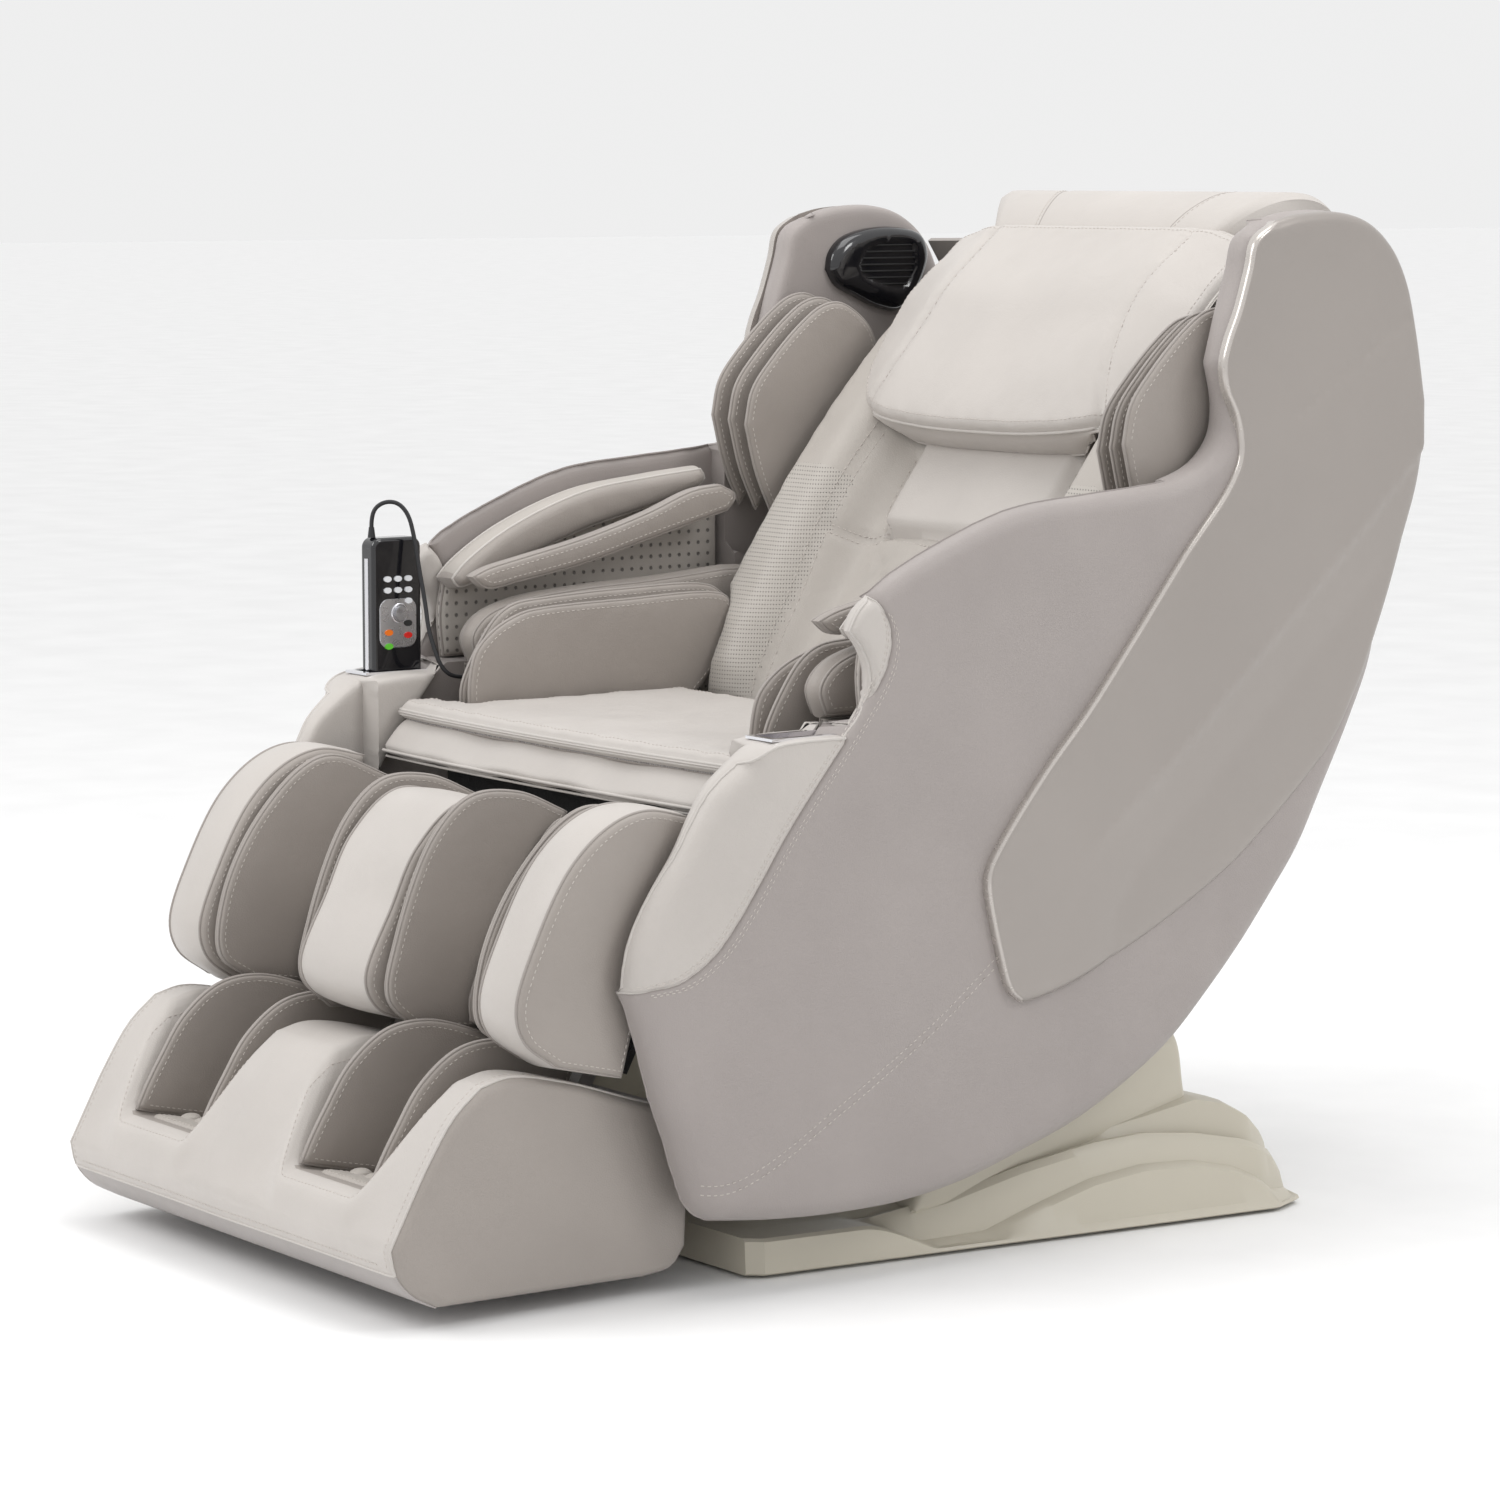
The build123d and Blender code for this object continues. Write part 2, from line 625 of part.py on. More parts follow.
def make_calf_parts():
    side_pad = [[(-35, 26), (-18, 82), (14, 115), (69, 138), (150, 142), (223, 132), (248, 108),
                 (256, 60)],
                [(256, 60), (236, -18)], [(236, -18), (50, 24)], [(50, 24), (-35, 26)]]
    with BuildPart() as calf_side_pads:
        leg_plate(side_pad, 276, LEG_HALF)
        mirror(about=Plane.YZ)
    save(calf_side_pads, "calf_side_pads")
    outer = [[(-24, -6), (-14, 80), (16, 110), (102, 136), (186, 133), (241, 108), (250, 60)],
             [(250, 60), (228, -8)], [(228, -8), (-24, -6)]]
    inner = [[(-24, -6), (-18, 60), (11, 114), (69, 136), (183, 127), (240, 108), (256, 60)],
             [(256, 60), (228, -8)], [(228, -8), (-24, -6)]]
    with BuildPart() as calf_flaps:
        leg_plate(outer, CALF_OUT - FLAP_T, CALF_OUT)
        leg_plate(inner, CALF_IN, CALF_IN + FLAP_T)
        mirror(about=Plane.YZ)
    save(calf_flaps, "calf_flaps")
    with BuildPart() as calf_pads:
        pad = [(-16, -8), (-10, 8), (40, 22), (200, 24), (224, 12), (224, -8)]
        leg_plate(polygon(pad), CALF_IN + FLAP_T + CLEAR, CALF_OUT - FLAP_T - CLEAR)
        mirror(about=Plane.YZ)
    save(calf_pads, "calf_pads")
    divider = [[(-8, 0), (14, 103), (80, 134), (150, 134), (232, 128), (252, 100), (246, 50)],
               [(246, 50), (226, -8)], [(226, -8), (-8, -8)], [(-8, -8), (-8, 0)]]
    with BuildPart() as calf_divider:
        leg_plate(divider, -CALF_IN + CLEAR, CALF_IN - CLEAR)
    save(calf_divider, "calf_divider")


# ---------------------------------------------------------------- footrest
def make_footrest():
    body = [
        [(-588, 23), (-330, 20)],
        [(-330, 20), (-296, 26), (-280, 46)],
        [(-280, 46), (-274, 186)],
        [(-274, 186), (-340, 205), (-430, 228), (-496, 238)],
        [(-496, 238), (-545, 222)],
        [(-545, 222), (-585, 176), (-612, 120), (-622, 60), (-588, 23)],
    ]
    well = [(-632, 133), (-590, 128), (-410, 84), (-392, 96), (-352, 240), (-500, 320), (-660, 320)]
    with BuildPart() as footrest_shell:
        plate(body, -FOOT_HALF, FOOT_HALF)
        for side in (-1, 1):
            low, high = sorted((side * WELL_IN, side * WELL_OUT))
            plate(polygon(well), low, high, Mode.SUBTRACT)
        fillet(footrest_shell.edges().filter_by(Axis.X).sort_by(Axis.Z)[0], 6)
    save(footrest_shell, "footrest_shell")
    face = [
        [(-588, 23), (-622, 60), (-612, 120), (-585, 176), (-545, 222)],
        [(-545, 222), (-556, 238)],
        [(-556, 238), (-606, 192), (-636, 130), (-648, 80), (-640, 44), (-588, 23)],
    ]
    with BuildPart() as footrest_face:
        plate(face, -FOOT_HALF + 6, FOOT_HALF - 6)
        for side in (-1, 1):
            low, high = sorted((side * WELL_IN, side * WELL_OUT))
            plate(polygon(well), low, high, Mode.SUBTRACT)
    save(footrest_face, "footrest_face")
    flap = [
        [(-601, 137), (-579, 184), (-547, 236), (-502, 268), (-451, 270), (-392, 250), (-357, 232)],
        [(-357, 232), (-394, 100)], [(-394, 100), (-410, 88)], [(-410, 88), (-588, 131)],
        [(-588, 131), (-601, 137)],
    ]
    with BuildPart() as foot_flaps:
        plate(flap, WELL_OUT - FLAP_T, WELL_OUT - CLEAR)
        plate(flap, WELL_IN + CLEAR, WELL_IN + FLAP_T)
        mirror(about=Plane.YZ)
    save(foot_flaps, "foot_flaps")
    with BuildPart() as slide_tubes:
        low_end = 290
        for side in (-1, 1):
            low, high = sorted((side * 267.3, side * 284.7))
            leg_plate(polygon([(62, -38.7), (low_end, -38.7), (low_end, -21.3), (62, -21.3)]),
                      low, high)
        plate(body, -FOOT_HALF, FOOT_HALF, Mode.SUBTRACT)
    save(slide_tubes, "slide_tubes")


# ---------------------------------------------------------------- handset
FACE_X = HAND[0] + HAND_T / 2
WHITE_BUTTONS = [(-14, 0), (0, 0), (14, 0), (-14, -13), (0, -13), (14, -13), (14, -26)]
COLOUR_BUTTONS = {"orange": (-13, -62), "green": (-13, -78), "red": (13, -66), "dark": (13, -52)}
TOP_ROW = HAND_TOP - 48
KNOB_Z = HAND_TOP - 88


def handset_controls():
    """Each control's name, place on the face (y, z) and half sizes."""
    controls = []
    for index, (dy, dz) in enumerate(WHITE_BUTTONS):
        controls.append((f"button_white_{index + 1}", HAND[1] + dy, TOP_ROW + dz, 5.0, 3.4))
    for colour, (dy, dz) in COLOUR_BUTTONS.items():
        controls.append((f"button_{colour}", HAND[1] + dy, TOP_ROW + dz, 5.5, 3.6))
    controls.append(("handset_knob", HAND[1] + 2, KNOB_Z, 8.0, 8.0))
    return controls


def control_blank(y, z, half_w, half_h, x_low, x_high, mode):
    """An oval pad on the handset's face."""
    with BuildPart() as pad:
        with BuildSketch(SIDE.offset(x_low)):
            with Locations((y, z)):
                Ellipse(half_w, half_h)
        extrude(amount=x_high - x_low)
    add(pad.part, mode=mode)


def make_handset():
    x, y = HAND
    with BuildPart() as handset_case:
        block(x - HAND_T / 2, FACE_X, y - HAND_W / 2, y + HAND_W / 2, HAND_LOW, HAND_TOP)
        fillet(handset_case.edges().filter_by(Axis.X), 12)
        fillet(handset_case.edges().filter_by(Axis.Z), 5)
        for name, by, bz, half_w, half_h in handset_controls():
            control_blank(by, bz, half_w + 0.4, half_h + 0.4, FACE_X - 4, FACE_X + 1, Mode.SUBTRACT)
    save(handset_case, "handset_case")
    for name, by, bz, half_w, half_h in handset_controls():
        with BuildPart() as control:
            height = 6 if name == "handset_knob" else 1.8
            control_blank(by, bz, half_w, half_h, FACE_X - 2.6, FACE_X + height, Mode.ADD)
        save(control, name)


# ---------------------------------------------------------------- handset cord
def corner_radii(points):
    """Arc radius at each corner: 0.45 of the shorter run over tan(half turn)."""
    radii = []
    for before, here, after in zip(points, points[1:], points[2:]):
        run_in = Vector(*here) - Vector(*before)
        run_out = Vector(*after) - Vector(*here)
        turn = math.radians(run_in.get_angle(run_out))
        shorter = min(run_in.length, run_out.length)
        radii.append(0.45 * shorter / math.tan(turn / 2))
    return radii


def make_cord():
    radii = corner_radii(CORD_ROUTE)
    print("cord radii", [round(r, 1) for r in radii], "least", round(min(radii) / CORD_D, 2), "diameters")
    with BuildPart() as handset_cord:
        with BuildLine() as route:
            FilletPolyline(*CORD_ROUTE, radius=radii)
        with BuildSketch(Plane(origin=CORD_ROUTE[0], z_dir=(0, 0, 1))):
            Circle(CORD_D / 2)
        sweep()
    length = sum(edge.length for edge in route.edges())
    section = math.pi * CORD_D ** 2 / 4
    print("cord length", round(length, 1), "volume / section x length",
          round(handset_cord.part.volume / (section * length), 4))
    save(handset_cord, "handset_cord")
    x, y, z = CORD_ROUTE[0]
    with BuildPart() as cord_boot:
        with BuildSketch(Plane.XY.offset(HAND_TOP)) as foot:
            with Locations((x, y)):
                Circle(4.6)
        with BuildSketch(Plane.XY.offset(z)) as tip:
            with Locations((x, y)):
                Circle(3.1)
        loft()
    save(cord_boot, "cord_boot")
    x, y, z = CORD_ROUTE[-1]
    entry = Plane(origin=(x, y, z), z_dir=(0, 1, 0))
    with BuildPart() as cord_gland:
        with BuildSketch(entry):
            Circle(3.2)
        with BuildSketch(entry.offset(-110 - y)):
            Circle(5.5)
        loft()
    save(cord_gland, "cord_gland")


# ---------------------------------------------------------------- build every piece
make_base_cover()
make_pivot_posts()
make_pivot_pins()
make_base_frame()
make_rubber_feet()
make_power_inlet()
make_control_box()
make_tilt_actuator()
make_seat_frame()
make_back_frame()
make_side_panels()
make_hard_covers()
make_slot_cups()
make_arm_parts()
make_hip_flaps()
make_seat()
make_back_pad()
make_top_pad()
make_shoulder_flaps()
make_speakers()
make_rear_shell()
make_head_pillow()
make_carriage()
make_legrest_frame()
make_legrest_shell()
make_calf_parts()
make_footrest()
make_handset()
make_cord()
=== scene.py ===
"""Massage chair, dressed around its CAD frame. Metres; outlines are written in millimetres.

-Y is the front of the chair, +X the arm nearest the camera, +Z up.
"""
import math

import bmesh
import bpy
import numpy as np
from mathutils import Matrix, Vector
from mathutils.geometry import delaunay_2d_cdt


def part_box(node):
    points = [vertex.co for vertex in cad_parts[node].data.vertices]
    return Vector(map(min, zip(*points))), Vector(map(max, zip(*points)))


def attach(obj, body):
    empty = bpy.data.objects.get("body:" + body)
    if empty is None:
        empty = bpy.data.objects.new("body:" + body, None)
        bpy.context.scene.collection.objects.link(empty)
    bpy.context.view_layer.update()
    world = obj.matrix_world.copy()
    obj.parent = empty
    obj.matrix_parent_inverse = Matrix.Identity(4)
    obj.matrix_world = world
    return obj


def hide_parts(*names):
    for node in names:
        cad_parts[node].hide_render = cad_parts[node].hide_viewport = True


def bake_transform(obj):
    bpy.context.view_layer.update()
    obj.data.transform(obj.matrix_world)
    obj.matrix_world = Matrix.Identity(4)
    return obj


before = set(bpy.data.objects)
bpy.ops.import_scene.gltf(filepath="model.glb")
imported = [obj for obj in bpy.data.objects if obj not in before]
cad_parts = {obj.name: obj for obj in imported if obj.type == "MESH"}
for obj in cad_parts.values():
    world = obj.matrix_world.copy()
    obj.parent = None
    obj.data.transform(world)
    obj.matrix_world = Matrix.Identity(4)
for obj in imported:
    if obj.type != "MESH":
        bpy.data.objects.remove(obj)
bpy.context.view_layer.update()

MM = 0.001
SIDES = {"r": 1, "l": -1}

# ---------------------------------------------------------------- places shared with the frame
KNEE = (-280, 455)             # legrest axis (y, z)
LEAN = math.radians(28)        # calf leans this far forward of straight down
BACK_FOOT = (150, 525)         # lower end of the back's chord (y, z)
RISE = math.radians(55)        # the chord's angle above the horizontal


def side_place(u, v, w):
    """(y, z) outline, thickness along X."""
    return np.stack([w, u, v], axis=-1)


def leg_place(u, v, w):
    """u down the calf, v out of its front, w along X."""
    y = KNEE[0] - u * math.sin(LEAN) - v * math.cos(LEAN)
    z = KNEE[1] - u * math.cos(LEAN) + v * math.sin(LEAN)
    return np.stack([w, y, z], axis=-1)


def back_place(u, v, w):
    """u along X, v up the back's chord, w forward of the chord."""
    y = BACK_FOOT[0] + v * math.cos(RISE) - w * math.sin(RISE)
    z = BACK_FOOT[1] + v * math.sin(RISE) + w * math.cos(RISE)
    return np.stack([u, y, z], axis=-1)


def plan_place(u, v, w):
    """u along X, v along Y, w up."""
    return np.stack([u, v, w], axis=-1)


# ---------------------------------------------------------------- materials
def new_material(name, colour, roughness, metallic=0.0, coat=0.0):
    material = bpy.data.materials.new(name)
    material.use_nodes = True
    shader = material.node_tree.nodes["Principled BSDF"]
    shader.inputs["Base Color"].default_value = (*colour, 1)
    shader.inputs["Roughness"].default_value = roughness
    shader.inputs["Metallic"].default_value = metallic
    shader.inputs["Coat Weight"].default_value = coat
    return material, material.node_tree, shader


def node(tree, kind, **values):
    made = tree.nodes.new(kind)
    for key, value in values.items():
        if key in made.inputs:
            made.inputs[key].default_value = value
        else:
            setattr(made, key, value)
    return made


def tinted(tree, shader, colour, source, spread):
    """Vary the base colour a little about its mean by a noise."""
    ramp = node(tree, "ShaderNodeValToRGB")
    ramp.color_ramp.elements[0].position = 0.3
    ramp.color_ramp.elements[1].position = 0.7
    ramp.color_ramp.elements[0].color = (*[c * (1 - spread) for c in colour], 1)
    ramp.color_ramp.elements[1].color = (*[min(1, c * (1 + spread)) for c in colour], 1)
    tree.links.new(source, ramp.inputs["Fac"])
    tree.links.new(ramp.outputs["Color"], shader.inputs["Base Color"])
    return ramp


def remap(tree, value, given, wanted):
    """Turn a socket's given span into the wanted one."""
    made = node(tree, "ShaderNodeMapRange")
    for label, number in zip(("From Min", "From Max", "To Min", "To Max"), given + wanted):
        made.inputs[label].default_value = number
    tree.links.new(value, made.inputs["Value"])
    return made.outputs["Result"]


def leather(name, colour, grain=0.5, roughness=0.5, perforated=0, crease=0.35):
    """Coated leather: pebble grain, soft creases, faint colour and gloss changes."""
    material, tree, shader = new_material(name, colour, roughness)
    shader.inputs["Specular IOR Level"].default_value = 0.45
    shader.inputs["Sheen Weight"].default_value = 0.12
    shader.inputs["Sheen Roughness"].default_value = 0.6
    place = node(tree, "ShaderNodeTexCoord").outputs["Object"]
    cloud = node(tree, "ShaderNodeTexNoise", Scale=9.0, Detail=4.0)
    pebble = node(tree, "ShaderNodeTexVoronoi", Scale=620.0)
    pores = node(tree, "ShaderNodeTexNoise", Scale=900.0, Detail=2.0)
    folds = node(tree, "ShaderNodeTexNoise", Scale=24.0, Detail=5.0, Distortion=0.8)
    for texture in (cloud, pebble, pores, folds):
        tree.links.new(place, texture.inputs["Vector"])
    tinted(tree, shader, colour, cloud.outputs["Fac"], 0.035)
    gloss = remap(tree, folds.outputs["Fac"], (0.3, 0.7), (roughness - 0.05, roughness + 0.07))
    tree.links.new(gloss, shader.inputs["Roughness"])
    soft = node(tree, "ShaderNodeBump", Strength=crease, Distance=0.0025)
    tree.links.new(folds.outputs["Fac"], soft.inputs["Height"])
    fine = node(tree, "ShaderNodeBump", Strength=grain, Distance=0.0003)
    tree.links.new(pebble.outputs["Distance"], fine.inputs["Height"])
    tree.links.new(soft.outputs["Normal"], fine.inputs["Normal"])
    tiny = node(tree, "ShaderNodeBump", Strength=grain * 0.5, Distance=0.00015)
    tree.links.new(pores.outputs["Fac"], tiny.inputs["Height"])
    tree.links.new(fine.outputs["Normal"], tiny.inputs["Normal"])
    last = tiny
    if perforated:
        last = perforate(tree, shader, place, last, colour, perforated)
    tree.links.new(last.outputs["Normal"], shader.inputs["Normal"])
    return material


def perforate(tree, shader, place, before, colour, scale):
    """Rows of small punched holes, laid out over width and height, with painted shade in the holes."""
    split = node(tree, "ShaderNodeSeparateXYZ")
    tree.links.new(place, split.inputs["Vector"])
    flat = node(tree, "ShaderNodeCombineXYZ")
    tree.links.new(split.outputs["Z"], flat.inputs["Y"])
    across = node(tree, "ShaderNodeMath", operation="ADD")
    tree.links.new(split.outputs["X"], across.inputs[0])
    tree.links.new(split.outputs["Y"], across.inputs[1])
    tree.links.new(across.outputs[0], flat.inputs["X"])
    holes = node(tree, "ShaderNodeTexVoronoi", Scale=scale, Randomness=0.0)
    holes.voronoi_dimensions = "2D"
    tree.links.new(flat.outputs["Vector"], holes.inputs["Vector"])
    dot = remap(tree, holes.outputs["Distance"], (0.12, 0.2), (0.0, 1.0))
    colour_link = shader.inputs["Base Color"].links[0].from_socket
    mix = node(tree, "ShaderNodeMix", data_type="RGBA")
    factor, hole_shade_colour, around_it = (mix.inputs[k] for k in (0, 6, 7))
    # painted shade: the holes take a darker copy of the leather's colour in place of the shade inside them
    hole_shade_colour.default_value = (*[c * 0.32 for c in colour], 1)
    tree.links.new(dot, factor)
    tree.links.new(colour_link, around_it)
    tree.links.new(mix.outputs[2], shader.inputs["Base Color"])
    punched = node(tree, "ShaderNodeBump", Strength=0.8, Distance=0.001)
    tree.links.new(dot, punched.inputs["Height"])
    tree.links.new(before.outputs["Normal"], punched.inputs["Normal"])
    return punched


def moulded(name, colour, roughness=0.4, metallic=0.0, coat=0.0, grain=0.12, scale=700.0):
    """Moulded or painted surface with a fine orange peel and faint scuffs."""
    material, tree, shader = new_material(name, colour, roughness, metallic, coat)
    place = node(tree, "ShaderNodeTexCoord").outputs["Object"]
    cloud = node(tree, "ShaderNodeTexNoise", Scale=5.0, Detail=3.0)
    peel = node(tree, "ShaderNodeTexNoise", Scale=scale, Detail=2.0)
    scuff = node(tree, "ShaderNodeTexNoise", Scale=60.0, Detail=6.0, Distortion=1.5)
    for texture in (cloud, peel, scuff):
        tree.links.new(place, texture.inputs["Vector"])
    tinted(tree, shader, colour, cloud.outputs["Fac"], 0.025)
    gloss = remap(tree, scuff.outputs["Fac"], (0.35, 0.65), (max(0.03, roughness - 0.03), roughness + 0.04))
    tree.links.new(gloss, shader.inputs["Roughness"])
    bump = node(tree, "ShaderNodeBump", Strength=grain, Distance=0.0004)
    tree.links.new(peel.outputs["Fac"], bump.inputs["Height"])
    tree.links.new(bump.outputs["Normal"], shader.inputs["Normal"])
    return material


LIGHT = (0.475, 0.442, 0.413)
MIDDLE = (0.40, 0.368, 0.335)
TAUPE = (0.30, 0.268, 0.243)
PANEL = (0.315, 0.282, 0.268)
LEATHERS = {
    "light_leather": dict(colour=LIGHT, grain=0.4, roughness=0.46),
    "taupe_leather": dict(colour=TAUPE, grain=0.5, roughness=0.5),
    "panel_leather": dict(colour=PANEL, grain=0.55, roughness=0.52, crease=0.12),
    "middle_leather": dict(colour=MIDDLE, grain=0.45, roughness=0.5),
    "foot_leather": dict(colour=(0.36, 0.33, 0.315), grain=0.45, roughness=0.5, crease=0.15),
    "perforated": dict(colour=MIDDLE, grain=0.4, roughness=0.5, perforated=105.0),
    "dotted": dict(colour=MIDDLE, grain=0.4, roughness=0.5, perforated=72.0),
    "fine_perforated": dict(colour=(0.42, 0.39, 0.355), grain=0.4, roughness=0.5, perforated=210.0),
    "piping": dict(colour=(0.31, 0.28, 0.258), grain=0.3, roughness=0.5),
    "light_piping": dict(colour=(0.50, 0.47, 0.44), grain=0.3, roughness=0.48),
    "dark_fabric": dict(colour=(0.03, 0.03, 0.03), grain=1.0, roughness=0.8),
}
HARD_FINISHES = {
    "thread": dict(colour=(0.52, 0.48, 0.445), roughness=0.7, grain=0.6, scale=1500.0),
    "taupe_plastic": dict(colour=(0.33, 0.30, 0.278), roughness=0.36, metallic=0.35, coat=0.2),
    # painted highlight: a lighter, glossier copy of taupe_plastic for the hard covers' front edge, in place
    # of light caught on its bevel
    "painted_highlight_plastic": dict(colour=(0.50, 0.465, 0.435), roughness=0.25, metallic=0.5, coat=0.4),
    "beige_plastic": dict(colour=(0.50, 0.465, 0.385), roughness=0.42),
    "black_plastic": dict(colour=(0.02, 0.02, 0.02), roughness=0.5),
    "gloss_black": dict(colour=(0.008, 0.008, 0.01), roughness=0.12, coat=0.6, grain=0.02),
    "silver_plastic": dict(colour=(0.60, 0.60, 0.62), roughness=0.28, metallic=0.9),
    "chrome_trim": dict(colour=(0.80, 0.80, 0.83), roughness=0.12, metallic=1.0, grain=0.03),
    "black_steel": dict(colour=(0.03, 0.03, 0.03), roughness=0.5, metallic=0.3, grain=0.3),
    "bright_steel": dict(colour=(0.55, 0.55, 0.55), roughness=0.3, metallic=1.0),
    "rubber": dict(colour=(0.02, 0.02, 0.02), roughness=0.75, grain=0.4),
    "black_rubber": dict(colour=(0.012, 0.012, 0.014), roughness=0.45, grain=0.2),
    "roller_plastic": dict(colour=(0.2, 0.2, 0.22), roughness=0.4),
    "white_button": dict(colour=(0.80, 0.82, 0.85), roughness=0.25, coat=0.3),
    "orange_button": dict(colour=(0.85, 0.18, 0.01), roughness=0.25, coat=0.3),
    "green_button": dict(colour=(0.12, 0.55, 0.04), roughness=0.25, coat=0.3),
    "red_button": dict(colour=(0.65, 0.02, 0.015), roughness=0.25, coat=0.3),
}
M = {name: leather(name, **look) for name, look in LEATHERS.items()}
M.update({name: moulded(name, **look) for name, look in HARD_FINISHES.items()})


# ---------------------------------------------------------------- outlines
def smooth_run(points, step):
    """A centripetal curve through the points, sampled about every step."""
    points = np.array(points, float)
    if len(points) == 2:
        count = max(1, int(round(np.linalg.norm(points[1] - points[0]) / step)))
        t = np.linspace(0, 1, count + 1)[:, None]
        return points[0] + (points[1] - points[0]) * t
    padded = np.vstack([2 * points[0] - points[1], points, 2 * points[-1] - points[-2]])
    dense = []
    for p0, p1, p2, p3 in zip(padded, padded[1:], padded[2:], padded[3:]):
        t = np.linspace(0, 1, 24, endpoint=False)[:, None]
        a = np.sqrt(np.linalg.norm(p1 - p0)) + 1e-9
        b = np.sqrt(np.linalg.norm(p2 - p1)) + 1e-9
        c = np.sqrt(np.linalg.norm(p3 - p2)) + 1e-9
        m1 = b * ((p1 - p0) / a - (p2 - p0) / (a + b) + (p2 - p1) / b)
        m2 = b * ((p2 - p1) / b - (p3 - p1) / (b + c) + (p3 - p2) / c)
        h00, h10 = 2 * t**3 - 3 * t**2 + 1, t**3 - 2 * t**2 + t
        h01, h11 = -2 * t**3 + 3 * t**2, t**3 - t**2
        dense.append(h00 * p1 + h10 * m1 + h01 * p2 + h11 * m2)
    dense.append(points[-1:])
    return even(np.vstack(dense), step)


def even(points, step):
    """Resample an open polyline to an even spacing near step."""
    gaps = np.linalg.norm(np.diff(points, axis=0), axis=1)
    run = np.concatenate([[0], np.cumsum(gaps)])
    count = max(2, int(round(run[-1] / step)))
    where = np.linspace(0, run[-1], count + 1)
    return np.stack([np.interp(where, run, points[:, k]) for k in range(points.shape[1])], axis=1)


def closed(stretches, step):
    """One closed loop, counter-clockwise, from stretches that meet end to end."""
    parts = [smooth_run(points, step)[:-1] for points in stretches]
    loop = np.vstack(parts)
    following = np.roll(loop, -1, axis=0)
    area = 0.5 * np.sum(loop[:, 0] * following[:, 1] - following[:, 0] * loop[:, 1])
    return loop if area > 0 else loop[::-1]


def round_box(u0, u1, v0, v1, radius):
    """Stretches of a rectangle with rounded corners; radius may be one per corner,
    from the low corner and counter-clockwise."""
    radii = radius if isinstance(radius, (tuple, list)) else (radius,) * 4
    corners = [(u0, v0, 180), (u1, v0, 270), (u1, v1, 0), (u0, v1, 90)]
    arcs = []
    for (u, v, start), r in zip(corners, radii):
        r = max(r, 0.5)
        cu, cv = u + (r if u == u0 else -r), v + (r if v == v0 else -r)
        turns = [math.radians(start + 90 * k / 6) for k in range(7)]
        arcs.append([(cu + r * math.cos(a), cv + r * math.sin(a)) for a in turns])
    stretches = []
    for arc, following in zip(arcs, arcs[1:] + arcs[:1]):
        stretches += [arc, [arc[-1], following[0]]]
    return stretches


def normals_in(loop):
    """Unit normals that point into a counter-clockwise loop."""
    along = np.roll(loop, -1, axis=0) - np.roll(loop, 1, axis=0)
    along /= np.linalg.norm(along, axis=1)[:, None] + 1e-12
    return np.stack([-along[:, 1], along[:, 0]], axis=1)


def distance(points, loop, is_closed=True):
    """Distance of each point from a polyline."""
    starts = loop if is_closed else loop[:-1]
    ends = np.roll(loop, -1, axis=0) if is_closed else loop[1:]
    best = np.full(len(points), 1e9)
    for a, b in zip(starts, ends):
        ab = b - a
        t = np.clip(((points - a) @ ab) / (ab @ ab + 1e-12), 0, 1)
        best = np.minimum(best, np.linalg.norm(points - a - t[:, None] * ab, axis=1))
    return best


def inside(points, loop):
    hit = np.zeros(len(points), bool)
    for a, b in zip(loop, np.roll(loop, -1, axis=0)):
        cross = (a[1] > points[:, 1]) != (b[1] > points[:, 1])
        if cross.any():
            at = (b[0] - a[0]) * (points[:, 1] - a[1]) / (b[1] - a[1] + 1e-12) + a[0]
            hit ^= cross & (points[:, 0] < at)
    return hit


def fill(loop, spacing, rings, lines=()):
    """Triangulate a loop, with rings of points near its rim, a grid inside, and edges along lines."""
    inward = normals_in(loop)
    sets = [loop]
    for depth in rings:
        ring = loop + inward * depth
        keep = inside(ring, loop) & (distance(ring, loop) > depth * 0.93)
        sets.append(ring[keep])
    low, high = loop.min(axis=0), loop.max(axis=0)
    us = np.arange(low[0], high[0], spacing)
    vs = np.arange(low[1], high[1], spacing * 0.87)
    grid = np.array([(u + (spacing / 2 if j % 2 else 0), v) for j, v in enumerate(vs) for u in us])
    keep = inside(grid, loop)
    grid = grid[keep]
    margin = (max(rings) if rings else 0) + spacing * 0.55
    grid = grid[distance(grid, loop) > margin]
    for line in lines:
        grid = grid[distance(grid, line, False) > spacing * 0.45]
    sets.append(grid)
    count = len(loop)
    edges = [(k, (k + 1) % count) for k in range(count)]
    for line in lines:
        inner = line[inside(line, loop)]
        inner = inner[distance(inner, loop) > 2]
        start = sum(len(part) for part in sets)
        edges += [(start + k, start + k + 1) for k in range(len(inner) - 1)]
        sets.append(inner)
    points = np.vstack(sets)
    found = delaunay_2d_cdt([Vector(p) for p in points], edges, [], 1, 1e-4)
    verts = np.array([tuple(v) for v in found[0]])
    rim = [None] * count
    for index, origins in enumerate(found[3]):
        for origin in origins:
            if origin < count:
                rim[origin] = index
    return verts, [tuple(f) for f in found[2]], rim


def step_lines(points, gap=3.0):
    """Two parallel runs of points, on either side of a step in a face."""
    line = even(np.array(points, float), 8)
    away = np.gradient(line, axis=0)
    away = np.stack([-away[:, 1], away[:, 0]], axis=1) / (np.linalg.norm(away, axis=1)[:, None] + 1e-9)
    return [line + away * gap / 2, line - away * gap / 2]


def fillet_drop(d, radius):
    """How far a rounded rim falls at distance d in from its edge."""
    reach = np.clip(radius - d, 0, radius)
    return radius - np.sqrt(np.maximum(radius**2 - reach**2, 0))


